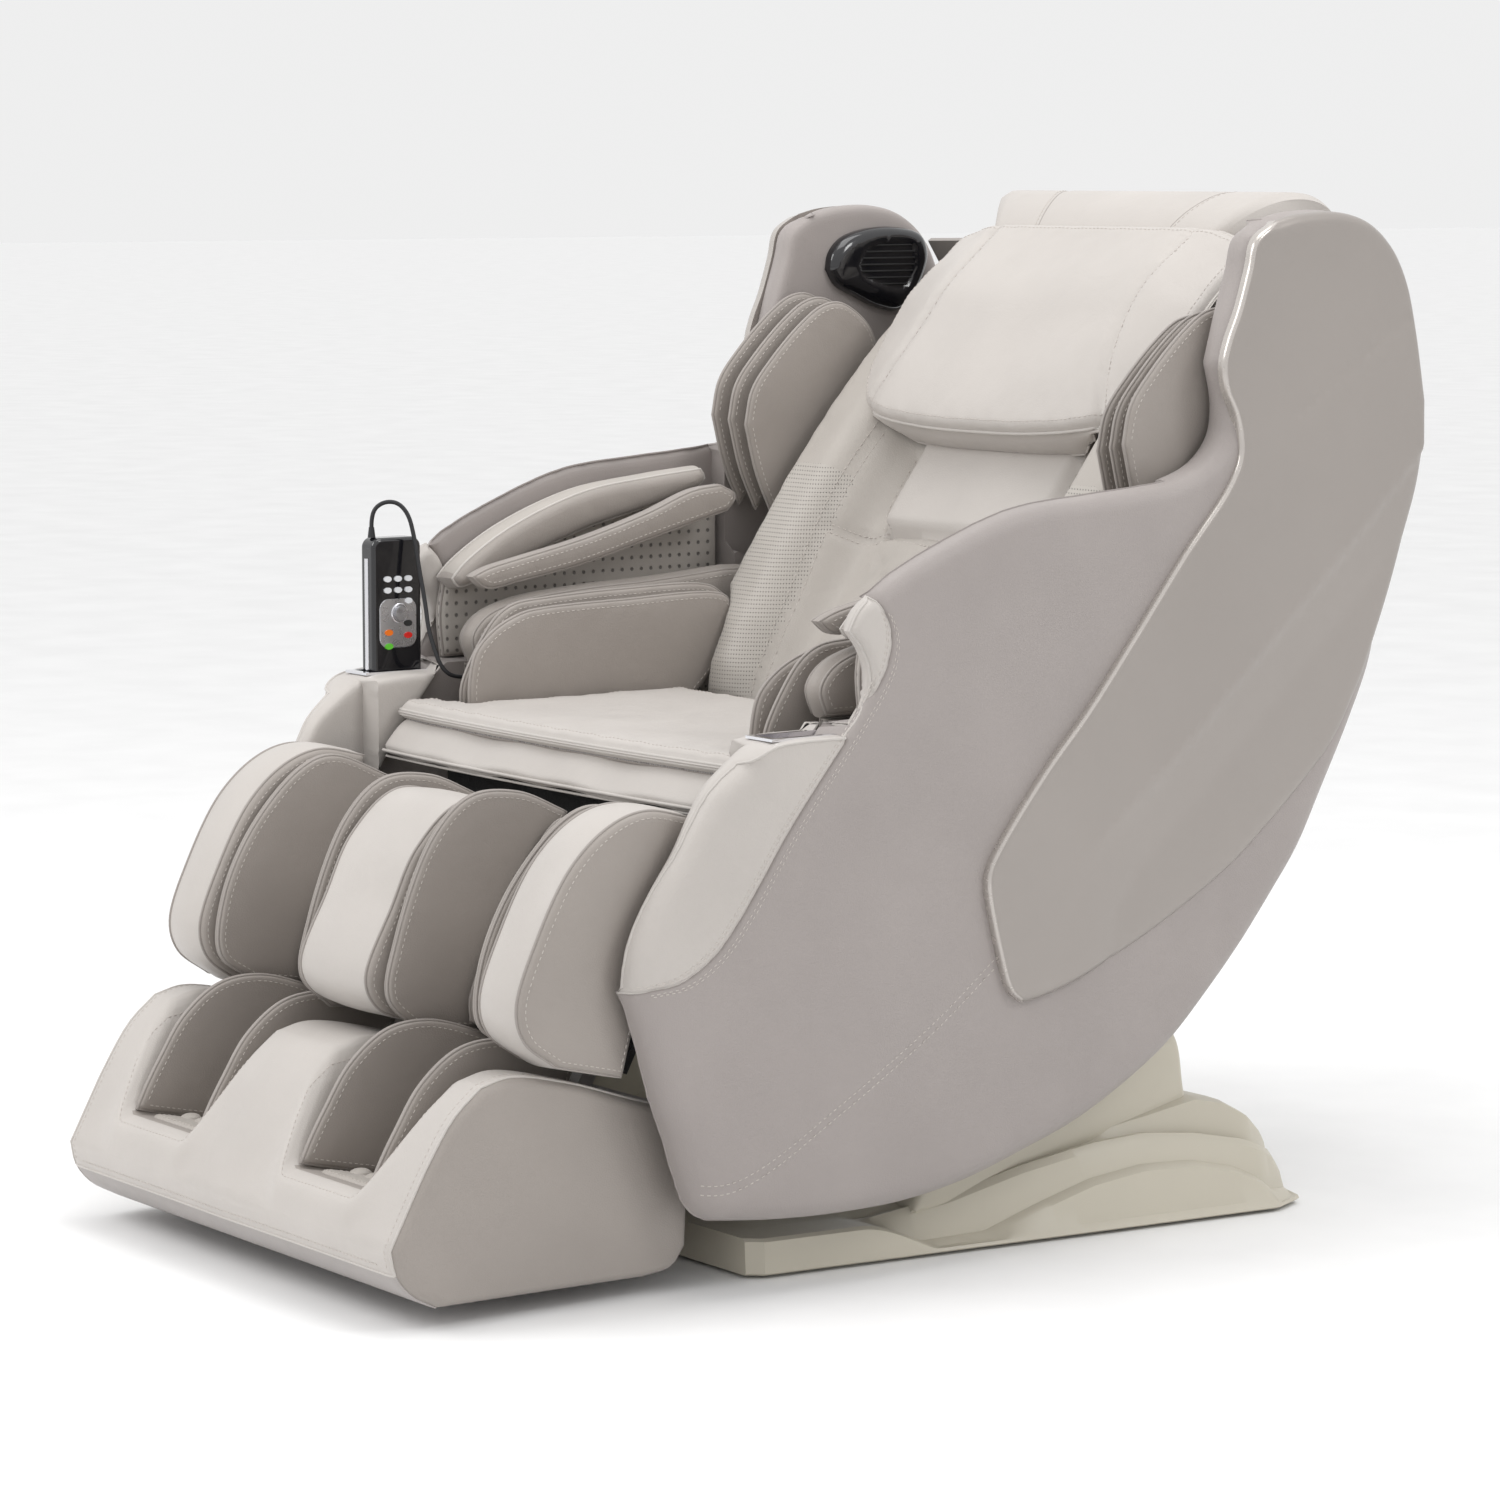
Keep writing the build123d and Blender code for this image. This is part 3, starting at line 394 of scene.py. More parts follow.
def puckers(u, v, d, height):
    """Small folds in soft leather, strongest beside the seams."""
    folds = np.sin(u / 7.3 + 2.1 * np.sin(v / 31.0)) * np.sin(v / 9.1 + 1.7 * np.sin(u / 27.0))
    drape = np.sin(u / 41.0 + 1.3 * np.sin(v / 57.0)) * np.sin(v / 49.0 + 0.9)
    near_seam = np.exp(-d / 20.0) * (1 - np.exp(-d / 5.0))
    return height * (folds * near_seam + 0.9 * drape * (1 - np.exp(-d / 30.0)))


def ease(x, low, high):
    """0 below low, 1 above high, smooth between."""
    t = np.clip((x - low) / (high - low), 0, 1)
    return t * t * (3 - 2 * t)


# ---------------------------------------------------------------- a piece under construction
class Piece:
    """Gathers vertices in millimetres and faces with a material each."""

    def __init__(self, name, *materials):
        self.name = name
        self.materials = materials
        self.verts = []
        self.faces = []
        self.slots = []
        self.count = 0
        self.sharp = 50

    def add(self, verts, faces, slot=0):
        base = self.count
        self.verts.append(np.asarray(verts, float))
        self.faces += [tuple(i + base for i in face) for face in faces]
        self.slots += list(slot) if hasattr(slot, "__len__") else [slot] * len(faces)
        self.count += len(verts)

    def tube(self, path, radius, slot, is_closed=True, sides=8):
        """A round cord along a path, for piping and welts."""
        path = np.asarray(path, float)
        ahead = np.roll(path, -1, axis=0) - np.roll(path, 1, axis=0)
        if not is_closed:
            ahead[0], ahead[-1] = path[1] - path[0], path[-1] - path[-2]
        ahead /= np.linalg.norm(ahead, axis=1)[:, None] + 1e-12
        up = np.where(np.abs(ahead[:, :1]) < 0.9, [[1.0, 0, 0]], [[0, 0, 1.0]])
        side = np.cross(ahead, up)
        side /= np.linalg.norm(side, axis=1)[:, None] + 1e-12
        up = np.cross(side, ahead)
        turns = np.arange(sides) * 2 * math.pi / sides
        ring = (path[:, None] + radius * (np.cos(turns)[None, :, None] * side[:, None]
                                          + np.sin(turns)[None, :, None] * up[:, None]))
        rows = len(path)
        faces = []
        for i in range(rows if is_closed else rows - 1):
            j = (i + 1) % rows
            for k in range(sides):
                m = (k + 1) % sides
                faces.append((i * sides + k, i * sides + m, j * sides + m, j * sides + k))
        if not is_closed:
            faces.append(tuple(range(sides)))
            faces.append(tuple((rows - 1) * sides + k for k in reversed(range(sides))))
        self.add(ring.reshape(-1, 3), faces, slot)

    def stitches(self, path, slot, length=4.4, gap=2.6, radius=0.55):
        """A row of thread dashes along a path."""
        path = even(np.asarray(path, float), (length + gap) / 4)
        per = 4
        for start in range(0, len(path) - 3, per):
            self.tube(path[start:start + 3], radius, slot, False, 5)

    def build(self, body, replaces=()):
        name = f"{self.name}_skin" if self.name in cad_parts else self.name
        mesh = bpy.data.meshes.new(name)
        verts = np.vstack(self.verts) * MM
        mesh.from_pydata(verts.tolist(), [], self.faces)
        for material in self.materials:
            mesh.materials.append(M[material])
        mesh.polygons.foreach_set("material_index", self.slots)
        mesh.polygons.foreach_set("use_smooth", [True] * len(self.faces))
        work = bmesh.new()
        work.from_mesh(mesh)
        bmesh.ops.recalc_face_normals(work, faces=work.faces)
        work.to_mesh(mesh)
        work.free()
        mesh.set_sharp_from_angle(angle=math.radians(self.sharp))
        mesh.update()
        made = bpy.data.objects.new(name, mesh)
        bpy.context.scene.collection.objects.link(made)
        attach(made, body)
        if replaces:
            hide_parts(*replaces)
        return made


PIPING, THREAD = 1, 2       # places in a sewn piece's list of materials, after its leather


def shell(piece, loop, place, front, back, spacing=10, rings=(1.5, 4, 8), wall=3, bulge=0.0,
          slot=0, wall_slot=None, paint=None, lines=()):
    """A closed pad: two faces over one outline, and a wall between their rims.
    front and back give the thickness coordinate from (u, v, distance to the rim)."""
    verts, tris, rim = fill(loop, spacing, rings, lines)
    d = distance(verts, loop)
    u, v = verts[:, 0], verts[:, 1]
    high = front(u, v, d)
    low = np.minimum(back(u, v, d), high - 0.5)
    count, around = len(verts), len(loop)
    corners = np.array(tris)
    faces = [tuple(f) for f in corners] + [tuple(f[::-1] + count) for f in corners]
    slots = [slot] * len(faces)
    if paint:
        centre = verts[corners].mean(axis=1)
        slots[:len(corners)] = [int(chosen) for chosen in paint(centre[:, 0], centre[:, 1])]
    outward = -normals_in(loop)
    layers = [place(u, v, high), place(u, v, low)]
    rows = [list(rim)]
    for step in range(1, wall):
        t = step / wall
        at = loop + outward * bulge * 4 * t * (1 - t)
        layers.append(place(at[:, 0], at[:, 1], high[rim] * (1 - t) + low[rim] * t))
        start = 2 * count + (step - 1) * around
        rows.append(list(range(start, start + around)))
    rows.append([r + count for r in rim])
    skirt = slot if wall_slot is None else wall_slot
    for upper, lower in zip(rows, rows[1:]):
        for i in range(around):
            j = (i + 1) % around
            faces.append((upper[j], upper[i], lower[i], lower[j]))
            slots.append(skirt[i] if hasattr(skirt, "__len__") else skirt)
    piece.add(np.vstack(layers), faces, slots)
    return {"high": layers[0][rim], "low": layers[1][rim]}


def loft(piece, loops, slot=0):
    """Skin a stack of closed loops that have equal counts, and cap its ends."""
    loops = np.asarray(loops, float)
    rows, around = loops.shape[:2]
    faces = []
    for i in range(rows - 1):
        for k in range(around):
            j = (k + 1) % around
            faces.append((i * around + k, i * around + j, (i + 1) * around + j, (i + 1) * around + k))
    faces.append(tuple(reversed(range(around))))
    faces.append(tuple((rows - 1) * around + k for k in range(around)))
    piece.add(loops.reshape(-1, 3), faces, slot)


def mirrored(place, side):
    """The same placing, mirrored to the other arm when side is -1."""
    def placed(u, v, w):
        points = place(u, v, w)
        points[..., 0] *= side
        return points
    return placed


def over_face(at, loop, place, face):
    """Points of an outline's plane, put on a face of the shell."""
    return place(at[:, 0], at[:, 1], face(at[:, 0], at[:, 1], distance(at, loop)))


def inset_path(loop, depth, place, face):
    """A path on a face, inset from the rim."""
    at = loop + normals_in(loop) * depth
    at = at[distance(at, loop) > depth * 0.85]
    return place(at[:, 0], at[:, 1], face(at[:, 0], at[:, 1], np.full(len(at), float(depth))))


def flap(piece, stretches, place, low, high, puff=5.0, rim=4.0, spacing=10, step=6, bulge=2.0,
         sewn=True, wall=4, wall_slot=None):
    """A padded flap: two crowned faces, a gusset between, piped and stitched edges.
    The piece's materials are leather, piping and thread."""
    loop = closed(stretches, step)

    def crown(u, v, d):
        return puff * (1 - np.exp(-d / 22.0)) - fillet_drop(d, rim) + puckers(u, v, d, puff / 6)

    def front(u, v, d):
        return high + crown(u, v, d)

    def back(u, v, d):
        return low - crown(u, v, d)

    ends = shell(piece, loop, place, front, back, spacing, (1.2, 3, 6, 11), wall, bulge,
                 wall_slot=wall_slot)
    for rim_path in (ends["high"], ends["low"]):
        piece.tube(rim_path, 1.8, PIPING)
    if sewn:
        for face in (front, back):
            piece.stitches(inset_path(loop, 6.5, place, face), THREAD)


def make_flap(name, body, place, stretches, low, high, replaced=(), fill_level=0.6,
              looks=("taupe_leather", "piping", "thread"), **shape):
    """A padded flap as a piece of its own."""
    piece = Piece(name, *looks)
    flap(piece, stretches, place, low, high, **shape)
    piece.build(body, replaced)


# ---------------------------------------------------------------- side panels
PANEL_REAR = [(429, 1101), (465, 1109), (524, 1111), (569, 1100), (603, 1074), (625, 1035), (638, 980),
              (649, 902), (644, 813), (630, 758), (608, 692), (592, 614), (563, 549), (522, 473),
              (486, 409), (449, 362), (406, 311), (363, 265), (306, 210), (249, 172), (179, 136),
              (109, 112), (27, 88), (-53, 76), (-132, 74), (-210, 76), (-286, 83)]
PANEL_TOE = [(-286, 83), (-306, 94), (-321, 124), (-340, 178), (-357, 221), (-371, 269), (-385, 311),
             (-393, 331)]
FRONT_SEAM = [(-393, 331), (-366, 334), (-342, 337), (-319, 348), (-296, 367), (-272, 398),
              (-248, 436), (-218, 485), (-190, 524), (-158, 565), (-130, 600), (-108, 630),
              (-96, 654), (-92, 680), (-100, 704), (-115, 721)]
ARM_TOP = [(-115, 721), (-92, 737), (-33, 765), (73, 802), (182, 814), (245, 819), (300, 826),
           (345, 845), (368, 872), (372, 905), (362, 950)]
WING_FRONT = [(362, 950), (378, 1007), (392, 1050), (401, 1082), (429, 1101)]
ARM_NOSE = [(-393, 331), (-387, 372), (-375, 401), (-354, 435), (-330, 468), (-308, 507),
            (-292, 532), (-262, 557)]
NOTCH = [(-262, 557), (-236, 573), (-205, 578), (-146, 579)]
NOTCH_WALL = [(-146, 579), (-126, 600), (-115, 639), (-124, 667), (-141, 688)]
NOSE_TIP = [(-141, 688), (-132, 706), (-115, 721)]
LOWER_SEAM = [(51, 329), (-28, 269), (-112, 215), (-172, 178), (-213, 150), (-243, 132), (-272, 120),
              (-295, 118), (-324, 122)]
HARD_FRONT = [(429, 1101), (401, 1082), (392, 1050), (378, 1007), (364, 975), (357, 948), (361, 921),
              (374, 894), (380, 867), (378, 845), (360, 814), (303, 751), (229, 662), (164, 586),
              (109, 529), (45, 451), (31, 427), (29, 410), (46, 336), (61, 295), (79, 280)]
HARD_LOW = [(79, 280), (102, 283), (163, 299), (234, 325), (305, 359), (378, 401), (427, 438),
            (476, 479), (526, 528), (570, 600)]
HARD_REAR = [(570, 600)] + PANEL_REAR[10:6:-1]
HARD_TOP = PANEL_REAR[7::-1]
CREASE = [(640, 850), (629, 841), (572, 786), (511, 729), (413, 644), (346, 585), (293, 537),
          (231, 487), (166, 430), (140, 400), (110, 330)]
GROOVE = [(619, 996), (461, 895)]

ARM_ZONE = np.array([(-200, 588), (294, 588), (294, 900), (-200, 900)], float)
HEAD_ZONE = np.array([(294, 700), (560, 560), (800, 560), (800, 1200), (294, 1200)], float)
OUTER_X, HEAD_IN, ARM_IN, BODY_IN, LIP_IN = 440, 396, 419, 375, 345


NOSE_DRAW, TOE_DRAW = 36, 16        # how far the panel draws in at the arm's front tip and at the floor


def outer_face(y, z):
    """The panel's outer station at a place on its outline."""
    return OUTER_X - NOSE_DRAW * ease(-y, 110, 400) ** 1.3 - TOE_DRAW * np.clip((330 - z) / 260, 0, 1) ** 1.6


def above(y, z, line):
    """How far a point stands above a line y -> z."""
    line = np.array(sorted(line))
    return z - np.interp(y, line[:, 0], line[:, 1])


def make_side_panel(side, letter):
    loop = closed([PANEL_REAR, PANEL_TOE, FRONT_SEAM, ARM_TOP, WING_FRONT], 8)
    seam = smooth_run(FRONT_SEAM, 8)
    diagonal = smooth_run(LOWER_SEAM, 8)
    cover = closed([HARD_FRONT, HARD_LOW, HARD_REAR, HARD_TOP], 12)
    rim = np.vstack([smooth_run(PANEL_REAR, 10), smooth_run(PANEL_TOE, 10)])
    top = np.vstack([smooth_run(ARM_TOP, 10), smooth_run(WING_FRONT, 10)])

    def front(u, v, d):
        points = np.stack([u, v], axis=1)
        x = outer_face(u, v)
        x = x - fillet_drop(distance(points, rim, False), 26) - fillet_drop(distance(points, top, False), 20)
        x = x - fillet_drop(distance(points, seam, False), 5)
        x = x - 1.6 * np.exp(-(distance(points, diagonal, False) / 4.0) ** 2)
        under = inside(points, cover) & (distance(points, cover) > 17)
        return np.where(under, np.minimum(x, OUTER_X - 9), x)

    def back(u, v, d):
        points = np.stack([u, v], axis=1)
        x = np.where(inside(points, ARM_ZONE), ARM_IN, np.where(inside(points, HEAD_ZONE), HEAD_IN, BODY_IN))
        return x + fillet_drop(d, 10) * 0.7

    steps = step_lines([(-118, 588), (286, 588)]) + step_lines([(294, 596), (294, 694)])
    steps += step_lines([(302, 697), (560, 560), (586, 560)]) + step_lines([(294, 708), (294, 824)])

    place = mirrored(side_place, side)
    piece = Piece(f"panel_{letter}", "panel_leather", "piping", "thread")
    shell(piece, loop, place, front, back, 11, (1.5, 4, 8, 14, 20), 4, 1.5, lines=steps)
    for line, shift in ((seam, 7), (seam, 10.5)):
        at = line[2:-2] + np.array([0.83, -0.56]) * shift
        at = at[inside(at, loop) & (distance(at, loop) > 2)]
        piece.stitches(over_face(at, loop, place, front), THREAD)
    for shift in (-5, 5):
        at = diagonal[1:-2] + np.array([0.0, shift])
        at = at[inside(at, loop)]
        piece.stitches(over_face(at, loop, place, front), THREAD)
    piece.build("recliner", [f"side_panel_{letter}"])


def make_arm_front(side, letter):
    loop = closed([ARM_NOSE, NOTCH, NOTCH_WALL, NOSE_TIP, FRONT_SEAM[::-1]], 6)
    seam = smooth_run(FRONT_SEAM, 8)
    edge = smooth_run(ARM_NOSE, 8)
    notch = np.vstack([smooth_run(NOTCH_WALL, 8), smooth_run(NOSE_TIP, 8)])

    def front(u, v, d):
        points = np.stack([u, v], axis=1)
        x = outer_face(u, v) - fillet_drop(distance(points, edge, False), 22)
        x = x - fillet_drop(distance(points, notch, False), 9)
        return x - fillet_drop(distance(points, seam, False), 5)

    def back(u, v, d):
        x = np.where((u > -232) & (v < 590), LIP_IN, BODY_IN)
        x = np.where(v > 590, ARM_IN - 6, x)
        return x + fillet_drop(d, 8)

    place = mirrored(side_place, side)
    piece = Piece(f"arm_front_{letter}", "light_leather", "light_piping", "thread")
    steps = step_lines([(-232, 120), (-232, 574)]) + step_lines([(-152, 590), (-112, 590)])
    ends = shell(piece, loop, place, front, back, 9, (1.5, 4, 8, 14), 8, 2.0, lines=steps)
    made = piece.build("recliner", ["arm_front_pads"])
    cut_slot(made, side)
    trim = Piece(f"arm_front_trim_{letter}", "light_piping", "thread")
    trim.tube(ends["high"], 1.6, 0)
    for shift in (6, 9):
        at = seam[2:-3] + np.array([-0.83, 0.56]) * shift
        at = at[inside(at, loop)]
        trim.stitches(over_face(at, loop, place, front), 1)
    trim.build("recliner")


def cut_slot(target, side):
    """Open the arm's top for the handset cup."""
    cup_width, rim_along, rim_across = 0.046, 0.0055, 0.0035
    low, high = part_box("slot_cups")
    depth, top = low[2], high[2] + 0.05
    mid_y, half_y = (low[1] + high[1]) / 2, (high[1] - low[1]) / 2 - rim_along
    mid_x, half_x = high[0] - cup_width / 2, cup_width / 2 - rim_across
    mesh = bpy.data.meshes.new("cutter")
    corners = [(side * (mid_x + a * half_x), mid_y + b * half_y, z)
               for z in (depth, top) for a, b in ((-1, -1), (1, -1), (1, 1), (-1, 1))]
    faces = [(0, 3, 2, 1), (4, 5, 6, 7), (0, 1, 5, 4), (1, 2, 6, 5), (2, 3, 7, 6), (3, 0, 4, 7)]
    mesh.from_pydata(corners, [], faces if side > 0 else [f[::-1] for f in faces])
    cutter = bpy.data.objects.new("cutter", mesh)
    bpy.context.scene.collection.objects.link(cutter)
    cut = target.modifiers.new("slot", "BOOLEAN")
    cut.operation = "DIFFERENCE"
    cut.solver = "EXACT"
    cut.use_self = True
    cut.object = cutter
    bpy.context.view_layer.objects.active = target
    bpy.ops.object.modifier_apply(modifier="slot")
    bpy.data.objects.remove(cutter)


def make_hard_cover(side, letter):
    loop = closed([HARD_FRONT, HARD_LOW, HARD_REAR, HARD_TOP], 6)
    crease = smooth_run(CREASE, 8)
    low_to_high = crease[np.argsort(crease[:, 0])]
    front_edge = smooth_run(HARD_FRONT, 6)
    rear_edge = np.vstack([smooth_run(HARD_LOW, 8), smooth_run(HARD_REAR, 8), smooth_run(HARD_TOP, 8)])
    groove = smooth_run(GROOVE, 8)

    def front(u, v, d):
        points = np.stack([u, v], axis=1)
        away = distance(points, crease, False)
        below = v < np.interp(u, low_to_high[:, 0], low_to_high[:, 1])
        fade = ease(u, 120, 260)
        x = 451 + 6 * fade - np.where(below, 0.15 * away, 0.055 * away) * fade
        x = np.maximum(x - np.where(below, 3.5 * ease(away, 0, 8), 0) * fade, 444)
        x = x - fillet_drop(distance(points, rear_edge, False), 11)
        x = x - fillet_drop(distance(points, front_edge, False), 5)
        return x - 1.5 * np.exp(-(distance(points, groove, False) / 2.6) ** 2)

    def back(u, v, d):
        return np.full(len(u), 431.0)

    place = mirrored(side_place, side)
    piece = Piece(f"hard_cover_{letter}", "taupe_plastic", "painted_highlight_plastic")
    # Painted highlight: the front edge's wall and a 3 mm band of the face beside it take the lighter edge
    # plastic, in place of light caught on the bevel.
    wall_slot = [1 if near < 1 else 0 for near in distance(loop, front_edge, False)]
    shell(piece, loop, place, front, back, 9, (1.2, 3, 6, 10), 4, 0.0, wall_slot=wall_slot,
          paint=lambda u, v: distance(np.stack([u, v], axis=1), front_edge, False) < 3.0,
          lines=[crease, groove])
    piece.build("recliner", [f"hard_cover_{letter}"])


def make_arm_inside(side, letter):
    place = mirrored(side_place, side)
    piece = Piece(f"arm_channel_{letter}", "perforated", "piping", "thread")
    floor = [[(-92, 452), (270, 452)], [(270, 452), (278, 586)], [(278, 586), (-94, 584)],
             [(-94, 584), (-92, 452)]]
    flap(piece, floor, place, 314, 420, puff=2, rim=5, wall=10, bulge=0.5, sewn=False)
    piece.build("recliner")
    piece = Piece(f"arm_liner_{letter}", "dotted", "piping", "thread")
    liner = [[(-106, 592), (-110, 640), (-104, 678)], [(-104, 678), (-33, 716), (73, 752), (240, 776)],
             [(240, 776), (284, 770)], [(284, 770), (284, 592)], [(284, 592), (-106, 592)]]
    flap(piece, liner, place, 396, 414, puff=5, rim=6, wall=6, bulge=1, sewn=False)
    piece.build("recliner")
    lower = [[(-108, 592), (-116, 618), (-100, 640), (-60, 656), (46, 668), (133, 672), (247, 681)],
             [(247, 681), (280, 676), (286, 640), (268, 592)], [(268, 592), (-108, 592)]]
    make_flap(f"arm_lower_airbag_{letter}", "recliner", place, lower, 319, 352, ["arm_airbags"],
              looks=("taupe_leather", "piping", "thread", "perforated"), puff=6, bulge=5, wall=6)
    upper = [[(-112, 689), (-92, 697), (-47, 707), (42, 726), (133, 752), (200, 776), (240, 781)],
             [(240, 781), (262, 768), (250, 752)],
             [(250, 752), (133, 722), (42, 698), (-47, 682), (-92, 676), (-112, 689)]]
    make_flap(f"arm_upper_airbag_{letter}", "recliner", place, upper, 324, 344, puff=4, bulge=2)
    rest = [[(-110, 684), (-94, 700), (-33, 738), (73, 777), (171, 791), (244, 798)],
            [(244, 798), (250, 788), (236, 776)],
            [(236, 776), (171, 758), (73, 734), (-21, 700), (-80, 679), (-102, 675), (-110, 684)]]
    loop = closed(rest, 6)
    high_part = above(loop[:, 0], loop[:, 1], [(-132, 680), (-33, 727), (73, 766), (171, 780), (250, 787)])
    wall_slot = [3 if h > -4 else 0 for h in high_part]
    make_flap(f"armrest_{letter}", "recliner", place, rest, LIP_IN + 20, ARM_IN - 2, ["armrest_pads"], 0.7,
              looks=("taupe_leather", "light_piping", "thread", "middle_leather"),
              puff=4, rim=10, bulge=4, wall=8, wall_slot=wall_slot, sewn=False)


def make_hip_flaps(side, letter):
    place = mirrored(side_place, side)
    outer = [[(-150, 540), (-149, 569), (-122, 620), (-100, 646), (-78, 658), (-34, 663), (74, 668),
              (198, 666), (221, 653)], [(221, 653), (214, 614), (188, 560), (158, 536)],
             [(158, 536), (-150, 540)]]
    inner = [[(-152, 540), (-151, 576), (-142, 608), (-116, 633), (-80, 649), (-54, 653), (53, 657),
              (205, 656), (218, 644)], [(218, 644), (212, 614), (190, 570), (156, 536)],
             [(156, 536), (-152, 540)]]
    for name, outline, low in (("inner", inner, 267), ("outer", outer, 287)):
        make_flap(f"hip_flap_{name}_{letter}", "recliner", place, outline, low + 3, low + 12,
                  ["hip_flaps"], puff=4.5, bulge=1.5)


SHOULDER = [[(277, 853), (287, 894), (318, 933), (362, 974), (390, 992), (415, 996), (439, 986),
             (462, 966), (474, 942)], [(474, 942), (439, 888), (377, 819), (316, 744)],
            [(316, 744), (293, 794), (277, 853)]]


def make_shoulder_flaps(side, letter):
    place = mirrored(side_place, side)
    for name, low, slip in (("inner", 320, 0), ("middle", 347, 5), ("outer", 374, 10)):
        outline = [[(y - slip, z + slip) for y, z in run] for run in SHOULDER]
        make_flap(f"shoulder_flap_{name}_{letter}", "recliner", place, outline, low + 3, low + 11,
                  ["shoulder_flaps"], puff=3.5, bulge=1.0)


def make_head_wing(side, letter):
    """Speaker pod with a slatted grille."""
    place = mirrored(side_place, side)
    pod = [[(447, 1035), (451, 1054), (468, 1072), (500, 1083), (550, 1086), (590, 1076), (600, 1050),
            (584, 1010), (556, 984), (522, 988), (490, 1001), (460, 1016), (447, 1035)]]
    loop = closed(pod, 5)
    piece = Piece(f"speaker_{letter}", "gloss_black", "black_plastic")

    def front(u, v, d):
        return HEAD_IN + np.zeros(len(u))

    grille = closed([[(486, 1040), (500, 1062), (532, 1070), (572, 1068), (580, 1040), (560, 1008),
                      (524, 1012), (494, 1024), (486, 1040)]], 5)

    def back(u, v, d):
        points = np.stack([u, v], axis=1)
        sunk = ease(distance(points, grille), 0, 5) * inside(points, grille)
        return 379 + fillet_drop(d, 14) * 0.8 - 2 * (1 - np.exp(-d / 12)) + 5 * sunk

    shell(piece, loop, place, front, back, 5, (1.2, 3, 6, 10), 2)
    for step in range(7):
        z = 1016 + 8 * step
        line = np.array([(y, z) for y in np.linspace(488, 580, 40)])
        line = line[inside(line, grille) & (distance(line, grille) > 3)]
        if len(line) > 3:
            piece.tube(place(line[:, 0], line[:, 1], np.full(len(line), 381.5)), 1.1, 1, False, 6)
    piece.build("recliner", ["speakers"])


# ---------------------------------------------------------------- back, head and seat
BACK_PROFILE = np.array([(8, -50), (24, -6), (60, 12), (120, 21), (300, 25), (420, 18), (520, 4),
                         (600, -14), (652, -32)], float)


def back_surface(x, along):
    """How far the back's leather stands forward of the chord."""
    side = np.abs(x)
    bolster = np.interp(along, BACK_PROFILE[:, 0], BACK_PROFILE[:, 1])
    hollow = -39 + 4 * np.cos(x / 150 * math.pi / 2)
    rise_up = ease(side, 150, 236)
    return hollow + (bolster - hollow) * rise_up


def make_back_pad():
    half = 293
    outline = [[(-262, 10), (262, 10)], [(262, 10), (264, 60), (272, 128), (half, 158)],
               [(half, 158), (half, 648)], [(half, 648), (-half, 648)],
               [(-half, 648), (-half, 158)], [(-half, 158), (-272, 128), (-264, 60), (-262, 10)]]
    loop = closed(outline, 8)
    bolster_seam = [np.array([(s * 188, 20), (s * 196, 150), (s * 204, 300), (s * 200, 420)], float)
                    for s in (-1, 1)]
    side_seam = [np.array([(s * 150, 388), (s * 150, 330), (s * 146, 300), (s * 128, 278)], float)
                 for s in (-1, 1)]
    low_seam = [np.array([(s * 196, 262), (s * 150, 268), (s * 128, 278)], float) for s in (-1, 1)]
    cross = np.array([(-128, 278), (0, 270), (128, 278)], float)
    lines = bolster_seam + side_seam + low_seam + [cross]
    smooth = [smooth_run(line, 8) for line in lines]

    def quilt(u, v):
        """Diamond stitching low in the middle of the back."""
        zone = ease(v, 30, 60) * (1 - ease(v, 240, 262)) * (1 - ease(np.abs(u), 120, 140))
        a = np.abs(((u + 0.8 * v) / 74) % 1 - 0.5)
        b = np.abs(((u - 0.8 * v) / 74) % 1 - 0.5)
        valley = np.exp(-(np.minimum(0.5 - a, 0.5 - b) * 74 / 7) ** 2)
        return zone * (1.5 - 4.5 * valley)

    def front(u, v, d):
        points = np.stack([u, v], axis=1)
        w = back_surface(u, v) - fillet_drop(d, 14) + quilt(u, v)
        for line in smooth:
            w = w - 5.0 * np.exp(-(distance(points, line, False) / 5.5) ** 2)
        panel = (1 - ease(np.abs(u), 128, 150)) * ease(v, 278, 292)
        return w + 11 * panel + puckers(u, v, d, 1.6)

    def back(u, v, d):
        return np.full(len(u), -79.0)

    def paint(u, v):
        strip = (np.abs(u) > 196) & (v < 330)
        panel = (np.abs(u) < 138 + 8 * ease(v, 278, 330)) & (v > 274)
        return np.where(strip, 3, np.where(panel, 4, 0))

    piece = Piece("back_pad", "middle_leather", "light_piping", "thread", "fine_perforated", "light_leather")
    ends = shell(piece, loop, back_place, front, back, 9, (1.5, 4, 8, 13), 5, 1.0, paint=paint)
    piece.tube(ends["high"], 2.2, PIPING)
    for line in smooth:
        for shift in (-5, 5):
            direction = np.gradient(line, axis=0)
            direction /= np.linalg.norm(direction, axis=1)[:, None] + 1e-9
            at = line + np.stack([-direction[:, 1], direction[:, 0]], axis=1) * shift
            piece.stitches(over_face(at, loop, back_place, front), THREAD)
    piece.build("recliner", ["back_pad"])


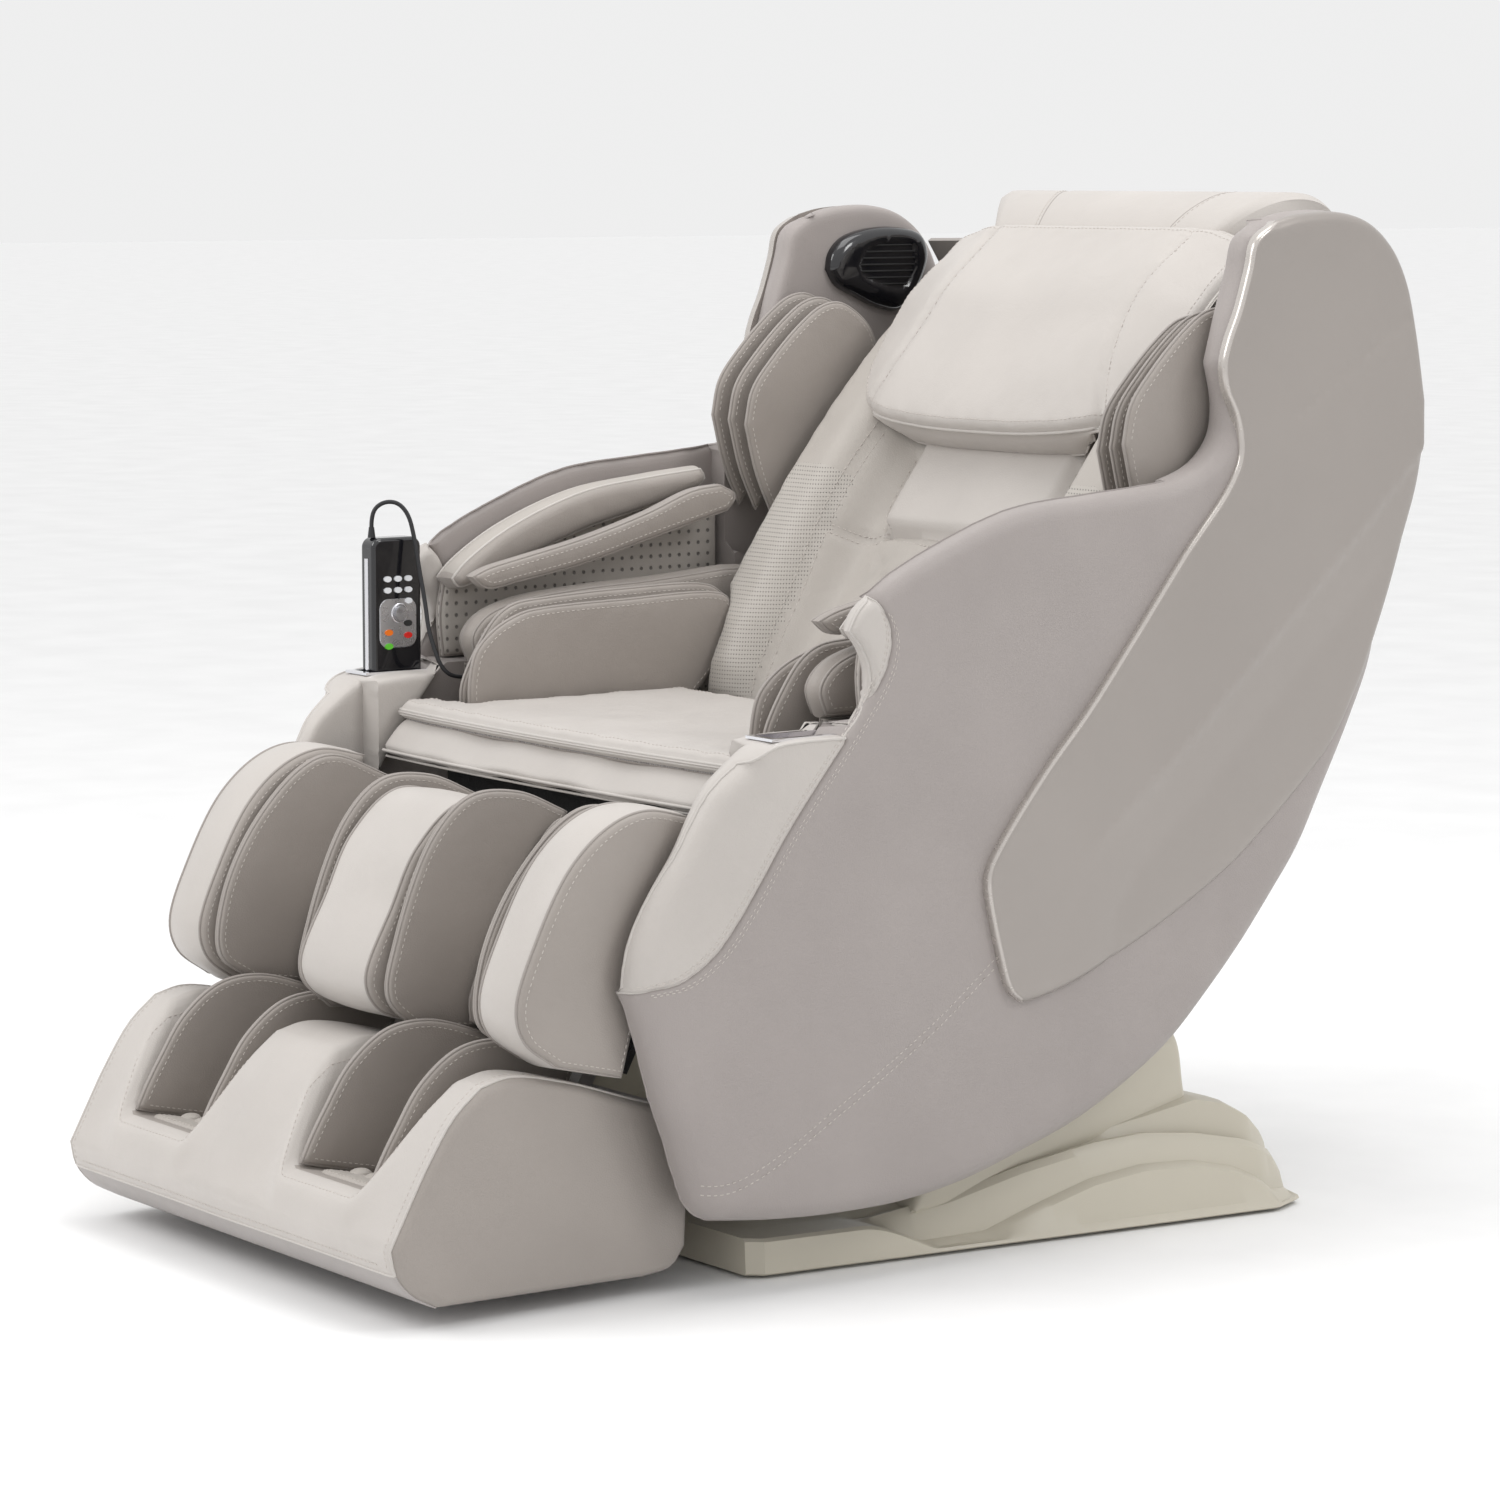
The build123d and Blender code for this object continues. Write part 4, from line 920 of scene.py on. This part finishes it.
def make_pillow():
    half = 266
    outline = [[(-half, 640), (-half - 2, 540), (-half + 4, 472), (-238, 432), (-190, 408), (-110, 397),
                (0, 394), (110, 397), (190, 408), (238, 432), (half - 4, 472), (half + 2, 540), (half, 640)],
               [(half, 640), (half - 12, 680), (210, 694)], [(210, 694), (-210, 694)],
               [(-210, 694), (-half + 12, 680), (-half, 640)]]
    loop = closed(outline, 7)
    seams = [smooth_run([(s * 176, 692), (s * 172, 600), (s * 186, 500), (s * 214, 420)], 8) for s in (-1, 1)]

    def front(u, v, d):
        points = np.stack([u, v], axis=1)
        w = 26 - 24 * ease(v, 560, 694) - 14 * ease(np.abs(u), 165, 262)
        w = w + 8 * (1 - np.exp(-d / 34)) - fillet_drop(d, 11)
        for line in seams:
            w = w - 4 * np.exp(-(distance(points, line, False) / 5) ** 2)
        return w + puckers(u, v, d, 1.4)

    def back(u, v, d):
        rear = np.where(np.abs(u) > 188, 4, -30 + 22 * ease(np.abs(u), 150, 186))
        rear = np.where(v > 640, np.minimum(rear, -26), rear)
        return rear - 3 * (1 - np.exp(-d / 30))

    piece = Piece("head_pillow", "light_leather", "light_piping", "thread")
    ends = shell(piece, loop, back_place, front, back, 9, (1.5, 4, 8, 13), 5, 4.0, lines=seams)
    piece.tube(ends["high"], 2.2, PIPING)
    piece.tube(ends["low"], 1.6, PIPING)
    piece.stitches(inset_path(loop, 9, back_place, front), THREAD)
    for line in seams:
        at = line + np.array([5.0, 0])
        piece.stitches(over_face(at, loop, back_place, front), THREAD)
    piece.build("pillow", ["head_pillow"])


def make_top_pad():
    """Sloping pad over the top of the back, narrower in front, with two cross seams."""
    profile = closed([[(548, 1078), (560, 1094), (584, 1115), (615, 1130), (642, 1129), (660, 1114),
                       (662, 1094)], [(662, 1094), (648, 1068)], [(648, 1068), (552, 1066)],
                      [(552, 1066), (548, 1078)]], 5)
    middle = profile.mean(axis=0)
    reach = np.interp(profile[:, 0], [548, 660], [206, 292])
    shares = np.concatenate([[-1, -0.995, -0.975], np.linspace(-0.94, 0.94, 53), [0.975, 0.995, 1]])
    piece = Piece("top_pad", "light_leather", "piping", "thread")

    def ring_at(share):
        edge = (1 - abs(share)) * 290
        scale = 1 - 0.26 * (1 - ease(edge, -8, 22)) - 0.045 * math.exp(-((abs(share) - 0.56) / 0.02) ** 2)
        ring = middle + (profile - middle) * scale
        return np.column_stack([reach * share, ring])

    loft(piece, [ring_at(share) for share in shares])
    upper = profile[:, 1] > 1086
    order = np.argsort(profile[upper][:, 0])
    for share in (-0.585, -0.56, 0.56, 0.585):
        line = ring_at(share)[upper][order]
        if abs(share) < 0.57:
            piece.tube(line, 1.3, PIPING, False)
        else:
            piece.stitches(line, THREAD)
    piece.build("recliner", ["top_pad"])


def make_rear_shell():
    outer = smooth_run([(594, 1072), (620, 1030), (634, 980), (642, 902), (636, 820), (620, 758),
                        (582, 618), (516, 485), (440, 380)], 16)
    direction = np.gradient(outer, axis=0)
    direction /= np.linalg.norm(direction, axis=1)[:, None]
    inward = np.stack([direction[:, 1], -direction[:, 0]], axis=1)
    if inward[len(inward) // 2][0] > 0:
        inward = -inward
    loops = []
    for x in np.linspace(-372, 372, 63):
        ridge = 3.5 * math.exp(-((abs(x) - 250) / 5) ** 2)
        bow = 6 * (1 - (x / 372) ** 2)
        skin = outer - inward * (bow - ridge)
        under = skin + inward * 6
        ring = np.vstack([skin, under[::-1]])
        loops.append(np.column_stack([np.full(len(ring), x), ring]))
    piece = Piece("rear_shell", "taupe_plastic")
    loft(piece, loops)
    for row in range(9):
        z = 560 + 14 * row
        y = np.interp(z, outer[::-1, 1], outer[::-1, 0]) + 6
        piece.tube([(x, y, z) for x in np.linspace(-110, 110, 12)], 2.2, 0, False)
    piece.build("recliner", ["rear_shell"])


def seat_front(x):
    """How far the seat's curved front edge lies behind its middle."""
    return 14 * (np.abs(x) / 335) ** 2.2


def make_seat():
    front_edge = [(x, -222 + float(seat_front(x))) for x in np.linspace(-335, 335, 11)]
    outline = [front_edge, [(335, -208), (334, -180), (322, -163)],
               [(322, -163), (264, -157)], [(264, -157), (263, 138)], [(263, 138), (-263, 138)],
               [(-263, 138), (-264, -157)], [(-264, -157), (-322, -163)],
               [(-322, -163), (-334, -180), (-335, -208)]]
    loop = closed(outline, 8)

    def front(u, v, d):
        dip = 3.0 * np.exp(-(((u) / 170) ** 2 + ((v - 10) / 150) ** 2))
        return 550 + 6 * (1 - np.exp(-d / 26)) - fillet_drop(d, 9) - dip + puckers(u, v, d, 2.0)

    def back(u, v, d):
        return 531 + fillet_drop(d, 5)

    piece = Piece("seat_cover", "light_leather", "light_piping", "thread", "taupe_leather")
    ends = shell(piece, loop, plan_place, front, back, 10, (1.5, 4, 8, 12), 4, 2.5)
    piece.tube(ends["high"], 1.8, PIPING)
    piece.tube(ends["low"], 1.8, PIPING)
    piece.stitches(inset_path(loop, 8, plan_place, front), THREAD)
    piece.build("recliner", ["seat_cover"])
    skirt = Piece("front_skirt", "light_leather", "light_piping", "thread")
    profile = closed([[(-184, 534), (-206, 532), (-222, 524), (-238, 508), (-244, 499), (-240, 491)],
                      [(-240, 491), (-228, 494), (-184, 508)], [(-184, 508), (-184, 534)]], 3)
    middle = profile.mean(axis=0)
    loops = []
    for x in np.concatenate([[-335, -333], np.linspace(-328, 328, 81), [333, 335]]):
        ring = middle + (profile - middle) * (1 - 0.25 * (1 - ease(335 - abs(x), 0, 9)))
        puff = 2.4 * math.sin(x / 29.0) * math.sin(x / 83.0)
        loops.append(np.column_stack([np.full(len(ring), x), ring[:, 0] + float(seat_front(x)) * 0.8,
                                      ring[:, 1] + puff * (ring[:, 0] < -200)]))
    loft(skirt, loops)
    xs = np.linspace(-332, 332, 100)
    skirt.tube([(x, -243.5 + float(seat_front(x)) * 0.8, 496) for x in xs], 2.0, PIPING, False)
    skirt.tube([(x, -239 + float(seat_front(x)) * 0.8, 489) for x in xs], 1.6, PIPING, False)
    skirt.build("recliner", ["front_skirt"])
    zipper = Piece("seat_zip", "taupe_leather", "silver_plastic", "piping")
    xs = np.linspace(-318, 318, 90)
    zipper.tube([(x, -214 + float(seat_front(x)), 530) for x in xs], 3.6, 0, False)
    zipper.stitches([(x, -217.6 + float(seat_front(x)), 530.5) for x in xs], 1, 2.0, 2.0, 0.9)
    zipper.build("recliner")


# ---------------------------------------------------------------- legrest
def leg_pad(name, outline, side, low, high, replaced, **options):
    make_flap(name, "legrest", mirrored(leg_place, side), outline, low, high, replaced,
              looks=("taupe_leather", "piping", "thread", "light_leather"), **options)


def light_front(outline, step, lowest):
    """Wall materials: light on the pad's front, leather behind."""
    loop = closed(outline, step)
    return [3 if n > lowest else 0 for n in loop[:, 1]]


def make_legrest():
    side_pad = [[(-35, 26), (-18, 82), (14, 115), (69, 138), (150, 142), (223, 132), (248, 108),
                 (256, 60)], [(256, 60), (236, -18)], [(236, -18), (50, 24)], [(50, 24), (-35, 26)]]
    outer = [[(-24, -6), (-14, 80), (16, 110), (102, 136), (186, 133), (241, 108), (250, 60)],
             [(250, 60), (228, -8)], [(228, -8), (-24, -6)]]
    inner = [[(-24, -6), (-18, 60), (11, 114), (69, 136), (183, 127), (240, 108), (256, 60)],
             [(256, 60), (228, -8)], [(228, -8), (-24, -6)]]
    pad = [[(-16, -8), (-10, 8), (40, 22), (200, 24), (224, 12)], [(224, 12), (224, -8)],
           [(224, -8), (-16, -8)]]
    divider = [[(-8, 0), (14, 103), (80, 134), (150, 134), (232, 128), (252, 100), (246, 50)],
               [(246, 50), (226, -8)], [(226, -8), (-8, -8)], [(-8, -8), (-8, 0)]]
    for letter, side in SIDES.items():
        leg_pad(f"calf_side_{letter}", side_pad, side, 280, 361, ["calf_side_pads"], puff=3.5,
                rim=7, bulge=4, wall=9, wall_slot=light_front(side_pad, 6, 30))
        leg_pad(f"calf_flap_outer_{letter}", outer, side, 258, 270, ["calf_flaps"], puff=3)
        leg_pad(f"calf_flap_inner_{letter}", inner, side, 83, 94, ["calf_flaps"], puff=3)
        leg_pad(f"calf_pad_{letter}", pad, side, 99, 253, ["calf_pads"], puff=1, rim=6, wall=14,
                bulge=3, sewn=False)
    leg_pad("calf_divider", divider, 1, -72, 72, ["calf_divider"], puff=4, rim=6, wall=14, bulge=4,
            wall_slot=light_front(divider, 6, 20))


# ---------------------------------------------------------------- footrest
FOOT_SECTIONS = (   # (point count, outline beside the wells, outline through a well if it differs)
    (10, [(-588, 23), (-618, 40), (-636, 62), (-642, 88)]),
    (14, [(-642, 88), (-622, 125), (-598, 168), (-565, 216), (-533, 243)],
     [(-642, 88), (-638, 110), (-630, 124), (-614, 131)]),
    (26, [(-533, 243), (-498, 250), (-430, 237), (-347, 210)],
     [(-614, 131), (-590, 127), (-500, 106), (-412, 86), (-385, 120), (-345, 206)]),
    (8, [(-347, 210), (-274, 188)], [(-345, 206), (-274, 188)]),
    (14, [(-274, 188), (-280, 46)]),
    (6, [(-280, 46), (-296, 26), (-330, 20)]),
    (12, [(-330, 20), (-588, 23)]),
)
SEAM_AT, LIP_AT, TOP_AT, REAR_AT = 7, 21, 30, 52     # places along the outline
FOOT_END = 343


def spread(points, count):
    """A smooth run resampled to exactly count steps, without its last point."""
    run = smooth_run(points, 2)
    gaps = np.concatenate([[0], np.cumsum(np.linalg.norm(np.diff(run, axis=0), axis=1))])
    where = np.linspace(0, gaps[-1], count + 1)[:-1]
    return np.stack([np.interp(where, gaps, run[:, k]) for k in (0, 1)], axis=1)


FULL = np.vstack([spread(outlines[0], count) for count, *outlines in FOOT_SECTIONS])
WELL = np.vstack([spread(outlines[-1], count) for count, *outlines in FOOT_SECTIONS])


def foot_ring(x):
    """The footrest's outline at a lateral station."""
    side = abs(x)
    height = 1 - ease(side, 58, 108) if side < 176 else ease(side, 240, 296)
    ring = WELL + (FULL - WELL) * float(height)
    index = np.arange(len(ring))
    front = np.exp(-((index - 20) / 9.0) ** 2)
    ring[:, 0] -= 9 * front * math.exp(-(x / 62.0) ** 2)
    drop = float(fillet_drop(np.array(FOOT_END - side), 16))
    middle = np.array([-450.0, 120.0])
    ring = middle + (ring - middle) * (1 - drop / 165)
    return ring


def make_footrest():
    band, face, welt, thread, flank = range(5)
    body = Piece("footrest_body", "foot_leather", "light_leather", "light_piping", "thread", "taupe_leather")
    ends = FOOT_END - np.array([0, 1, 3, 6])
    xs = np.concatenate([-ends, np.linspace(-333, 333, 123), ends[::-1]])
    rings = [foot_ring(x) for x in xs]
    loft(body, [np.column_stack([np.full(len(r), x), r]) for x, r in zip(xs, rings)])
    around = len(FULL)
    slots = []
    for x, y in zip(xs, xs[1:]):
        middle = abs(x + y) / 2
        for k in range(around):
            sewn_face = SEAM_AT <= k < REAR_AT and middle < 334
            well = LIP_AT + 2 < k < REAR_AT and 104 < middle < 246
            slots.append(flank if well or middle >= 334 else face if sewn_face else band)
    body.slots[:len(slots)] = slots
    body.slots[len(slots):len(slots) + 2] = [flank, flank]

    def along(x_list, index):
        return np.array([(x, *foot_ring(x)[index]) for x in x_list])

    wide = np.linspace(-334, 334, 90)
    body.tube(along(wide, SEAM_AT), 1.5, welt, False)
    body.stitches(along(wide[3:-3], SEAM_AT + 1) - [0, 0.2, 0], thread)
    for side in SIDES.values():
        corner = foot_ring(334)
        line = np.array([(side * 334.5, *corner[k]) for k in range(SEAM_AT, REAR_AT + 5)])
        body.tube(line, 1.6, welt, False)
        inner = foot_ring(326)
        body.stitches([(side * 326, *inner[k]) for k in range(SEAM_AT + 1, REAR_AT)], thread)
        low = [(side * 334.5, *corner[k]) for k in range(0, SEAM_AT + 1)]
        body.tube(low, 1.2, band, False)
        around_well = [(side * 282, *foot_ring(282)[k]) for k in range(TOP_AT + 8, LIP_AT, -1)]
        around_well += [(side * x, *foot_ring(x)[LIP_AT - 1]) for x in np.linspace(276, 78, 40)]
        around_well += [(side * 70, *foot_ring(70)[k]) for k in range(LIP_AT, TOP_AT + 8)]
        body.stitches(around_well, thread)
    body.build("footrest", ["footrest_shell", "footrest_face"])
    leaf = [[(-606, 136), (-594, 160), (-576, 190), (-547, 232), (-502, 264), (-451, 269), (-392, 252),
             (-360, 238)], [(-360, 238), (-394, 104)], [(-394, 104), (-410, 92)],
            [(-410, 92), (-588, 131), (-606, 136)]]
    for letter, side in SIDES.items():
        place = mirrored(side_place, side)
        for name, low in (("inner", 101), ("outer", 240)):
            make_flap(f"foot_flap_{name}_{letter}", "footrest", place, leaf, low, low + 10,
                      ["foot_flaps"], puff=2.5, bulge=1)
        sole = Piece(f"sole_pad_{letter}", "middle_leather", "piping", "thread")

        def sole_place(u, v, w):
            z = np.interp(v, [-590, -410], [127, 86])
            return np.stack([u, v, z + w], axis=-1)

        flap(sole, round_box(118, 238, -598, -414, 18), mirrored(sole_place, side), -2, 2, puff=5)
        for row in range(4):
            for column in range(3):
                knob(sole, side * (148 + 30 * column), -560 + 38 * row, 12)
        sole.build("footrest", ())


def knob(piece, x, y, radius):
    """A low reflexology knob on a sole pad."""
    z = float(np.interp(y, [-590, -410], [127, 86])) + 5
    rings = []
    for t in np.linspace(0, 1, 6):
        r = radius * math.cos(t * math.pi / 2) + 0.2
        turns = np.linspace(0, 2 * math.pi, 16, endpoint=False)
        rings.append([(x + r * math.cos(a), y + r * math.sin(a), z + 6 * math.sin(t * math.pi / 2))
                      for a in turns])
    loft(piece, rings)


# ---------------------------------------------------------------- base
BASE_TOP = np.array([(-205, 40), (-175, 44), (-50, 47), (74, 56), (203, 82), (288, 108), (335, 116),
                     (402, 128), (440, 120), (475, 101), (503, 80), (524, 58), (537, 34), (543, 22)], float)
SWOOSH = np.array([(-205, 14), (-175, 30), (-66, 38), (58, 56), (154, 79), (251, 95), (317, 99),
                   (385, 92), (453, 78), (498, 59), (543, 14)], float)
LEAF = np.array([(-205, 6), (100, 14), (170, 38), (235, 57), (301, 66), (367, 64), (422, 52),
                 (457, 36), (480, 18), (543, 8)], float)


def make_base():
    loops = []
    for y in np.linspace(-205, 543, 96):
        edge = np.interp(y, [-205, 470, 522, 543], [350, 425, 402, 330])
        corner = 12 * (1 - ease(y + 205, 0, 18)) + 14 * ease(y, 515, 543)
        edge = edge - corner
        crown, ridge, leaf = (float(np.interp(y, line[:, 0], line[:, 1]))
                              for line in (BASE_TOP, SWOOSH, LEAF))
        leaf = min(leaf, ridge - 2)
        half = [(0, crown), (edge * 0.4, crown), (edge - 92, crown + 1), (edge - 70, crown),
                (edge - 60, crown - 3), (edge - 52, max(ridge - 5, 7)),
                (edge - 45, ridge), (edge - 40, ridge),
                (edge - 33, ridge - 7 if ridge > 24 else ridge - 1), (edge - 26, max(leaf + 2, 9)),
                (edge - 20, max(leaf, 8)), (edge - 15, max(leaf - 4, 7)), (edge - 7, 14 if leaf > 18 else 8),
                (edge - 2, 9), (edge, 6), (edge - 3, 4)]
        block = 43 * (1 - ease(y, -70, 70))
        half = [(x, max(z, block - 3 * (x > edge - 6)) if z > 6 else z) for x, z in half]
        ring = half + [(-x, z) for x, z in reversed(half[1:])]
        loops.append([(x, y, z) for x, z in ring])
    piece = Piece("base_cover", "beige_plastic", "black_plastic")
    piece.sharp = 30
    loft(piece, loops)
    post = [[(10, 40), (60, 150), (130, 296), (165, 330)], [(165, 330), (235, 330)],
            [(235, 330), (290, 296), (350, 236), (387, 194), (399, 136), (410, 90)],
            [(410, 90), (410, 60)], [(410, 60), (10, 40)]]
    for side in SIDES.values():
        place = mirrored(side_place, side)
        loop = closed(post, 8)
        shell(piece, loop, place, lambda u, v, d: 345 - fillet_drop(d, 9),
              lambda u, v, d: 300 + fillet_drop(d, 9), 14, (1.5, 4, 8), 3)
    piece.build("base", ["base_cover"])


# ---------------------------------------------------------------- handset and cord
def make_handset_details():
    low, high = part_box("handset_case")
    face = high[0] / MM
    mid = (low[1] + high[1]) / 2 / MM
    knob_low, knob_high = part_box("handset_knob")
    knob_z = (knob_low[2] + knob_high[2]) / 2 / MM

    def face_on(u, v, w):
        return np.stack([face + w, u, v], axis=-1)

    plate = Piece("handset_panel", "silver_plastic", "chrome_trim")
    loop = closed(round_box(mid - 25, mid + 25, knob_z - 40, knob_z + 17, 12), 3)
    shell(plate, loop, face_on, lambda u, v, d: 0.9 - fillet_drop(d, 0.8), lambda u, v, d: -1 + 0 * u,
          5, (0.6, 1.5), 2)
    turns = np.linspace(0, 2 * math.pi, 40, endpoint=False)
    radius = 10.5
    ring = [(face + 1.2, mid + 2 + radius * math.cos(a), knob_z + radius * math.sin(a)) for a in turns]
    plate.tube(ring, 1.1, 1)
    plate.build("handset")
    strip = Piece("handset_side_strip", "chrome_trim")
    middle_x = (low[0] + high[0]) / 2 / MM
    edge_y = low[1] / MM
    line = [(middle_x, edge_y + 0.4, z) for z in np.linspace(low[2] / MM + 24, high[2] / MM - 24, 30)]
    strip.tube(line, 3.0, 0, False, 12)
    strip.build("handset")


CORD_DIAMETER = 0.005
CORD_ROUTE = [
    (-0.395, -0.207, 0.747), (-0.395, -0.207, 0.764), (-0.389, -0.196, 0.776), (-0.381, -0.180, 0.776),
    (-0.374, -0.169, 0.761), (-0.367, -0.166, 0.733), (-0.359, -0.165, 0.698), (-0.350, -0.163, 0.660),
    (-0.342, -0.164, 0.630), (-0.336, -0.160, 0.608), (-0.331, -0.155, 0.588), (-0.327, -0.141, 0.574),
    (-0.327, -0.122, 0.574),
]


def route_curve(name, bevel):
    curve = bpy.data.curves.new(name, "CURVE")
    curve.dimensions = "3D"
    curve.bevel_depth = bevel
    curve.bevel_resolution = 4
    curve.resolution_u = 12
    curve.use_fill_caps = bevel > 0
    spline = curve.splines.new("NURBS")
    spline.points.add(len(CORD_ROUTE) - 1)
    for point, place in zip(spline.points, CORD_ROUTE):
        point.co = (*place, 1)
    spline.order_u = 3
    spline.use_endpoint_u = True
    return bpy.data.objects.new(name, curve)


def make_cord():
    """The handset's lead, fixed in the arm at one end and on the handset at the other."""
    centre = route_curve("lead_line", 0)
    line = bpy.data.meshes.new_from_object(centre)
    tube = route_curve("lead_tube", CORD_DIAMETER / 2)
    mesh = bpy.data.meshes.new_from_object(tube)
    mesh.materials.clear()
    mesh.materials.append(M["black_rubber"])
    made = bpy.data.objects.new("handset_lead", mesh)
    bpy.context.scene.collection.objects.link(made)
    for spare in (centre, tube):
        bpy.data.objects.remove(spare)
    for polygon_face in mesh.polygons:
        polygon_face.use_smooth = True
    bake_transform(made)
    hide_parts("handset_cord")


# ---------------------------------------------------------------- finishes of the frame's own nodes
NODE_FINISH = {
    "handset_case": "gloss_black", "handset_knob": "silver_plastic", "button_orange": "orange_button",
    "button_green": "green_button", "button_red": "red_button", "button_dark": "black_plastic",
    "slot_cups": "chrome_trim", "rubber_feet": "rubber", "power_inlet": "black_plastic",
    "power_switch": "black_plastic", "control_box": "black_plastic", "tilt_motor": "black_plastic",
    "tilt_rod": "bright_steel", "pivot_pins": "bright_steel", "slide_tubes": "bright_steel",
    "legrest_shell": "dark_fabric", "cord_gland": "black_rubber", "cord_boot": "black_rubber",
    "lower_rollers": "roller_plastic", "upper_rollers": "roller_plastic", "seat_cushion": "dark_fabric",
}


def finish_nodes():
    for name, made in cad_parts.items():
        finish = NODE_FINISH.get(name)
        if name.startswith("button_white"):
            finish = "white_button"
        if finish is None:
            finish = "black_steel"
        made.data.materials.clear()
        made.data.materials.append(M[finish])


# ---------------------------------------------------------------- stage, light and camera
LAMPS = (("key", (-1.2, -3.0, 3.0), 48, 1.8), ("side", (3.4, 1.4, 3.4), 34, 1.2),
         ("top", (0.2, 0.2, 3.4), 26, 1.8))     # name, place, watts, width
LOOK_AT = (0, 0, 0.5)
EYE = (4.3034, -3.0805, 1.1624)
HEADING, PITCH_DOWN = math.radians(54), math.radians(7.005)
FOCAL_LENGTH, SENSOR = 114.35, 36       # millimetres


def make_stage():
    floor_mesh = bpy.data.meshes.new("floor")
    reach = 60.0
    floor_mesh.from_pydata([(-reach, -reach, 0), (reach, -reach, 0), (reach, reach, 0), (-reach, reach, 0)],
                           [], [(0, 1, 2, 3)])
    floor = bpy.data.objects.new("floor", floor_mesh)
    bpy.context.scene.collection.objects.link(floor)
    floor_mesh.materials.append(moulded("floor", (0.88, 0.88, 0.88), 0.8, grain=0.02))
    world = bpy.data.worlds.new("studio")
    world.use_nodes = True
    sky = world.node_tree.nodes["Background"]
    tree = world.node_tree
    height = node(tree, "ShaderNodeSeparateXYZ")
    tree.links.new(node(tree, "ShaderNodeTexCoord").outputs["Generated"], height.inputs[0])
    tree.links.new(remap(tree, height.outputs["Z"], (0.1, 0.9), (0.86, 1.05)), sky.inputs["Color"])
    bpy.context.scene.world = world
    for name, place, power, size in LAMPS:
        lamp = bpy.data.lights.new(name, "AREA")
        lamp.energy = power
        lamp.size = size
        made = bpy.data.objects.new(name, lamp)
        made.location = place
        made.rotation_euler = (Vector(LOOK_AT) - Vector(place)).to_track_quat("-Z", "Y").to_euler()
        bpy.context.scene.collection.objects.link(made)


def make_camera():
    lens = bpy.data.cameras.new("camera")
    lens.lens = FOCAL_LENGTH
    lens.sensor_width = SENSOR
    made = bpy.data.objects.new("camera", lens)
    made.location = EYE
    made.rotation_euler = (math.pi / 2 - PITCH_DOWN, 0, HEADING)
    bpy.context.scene.collection.objects.link(made)
    bpy.context.scene.camera = made
    bpy.context.scene.view_settings.view_transform = "Standard"


# ---------------------------------------------------------------- the whole chair
make_camera()
make_stage()
finish_nodes()
make_cord()
for letter, side in SIDES.items():
    make_side_panel(side, letter)
    make_arm_front(side, letter)
    make_hard_cover(side, letter)
    make_arm_inside(side, letter)
    make_hip_flaps(side, letter)
    make_shoulder_flaps(side, letter)
    make_head_wing(side, letter)
make_back_pad()
make_pillow()
make_top_pad()
make_rear_shell()
make_seat()
make_legrest()
make_footrest()
make_base()
make_handset_details()
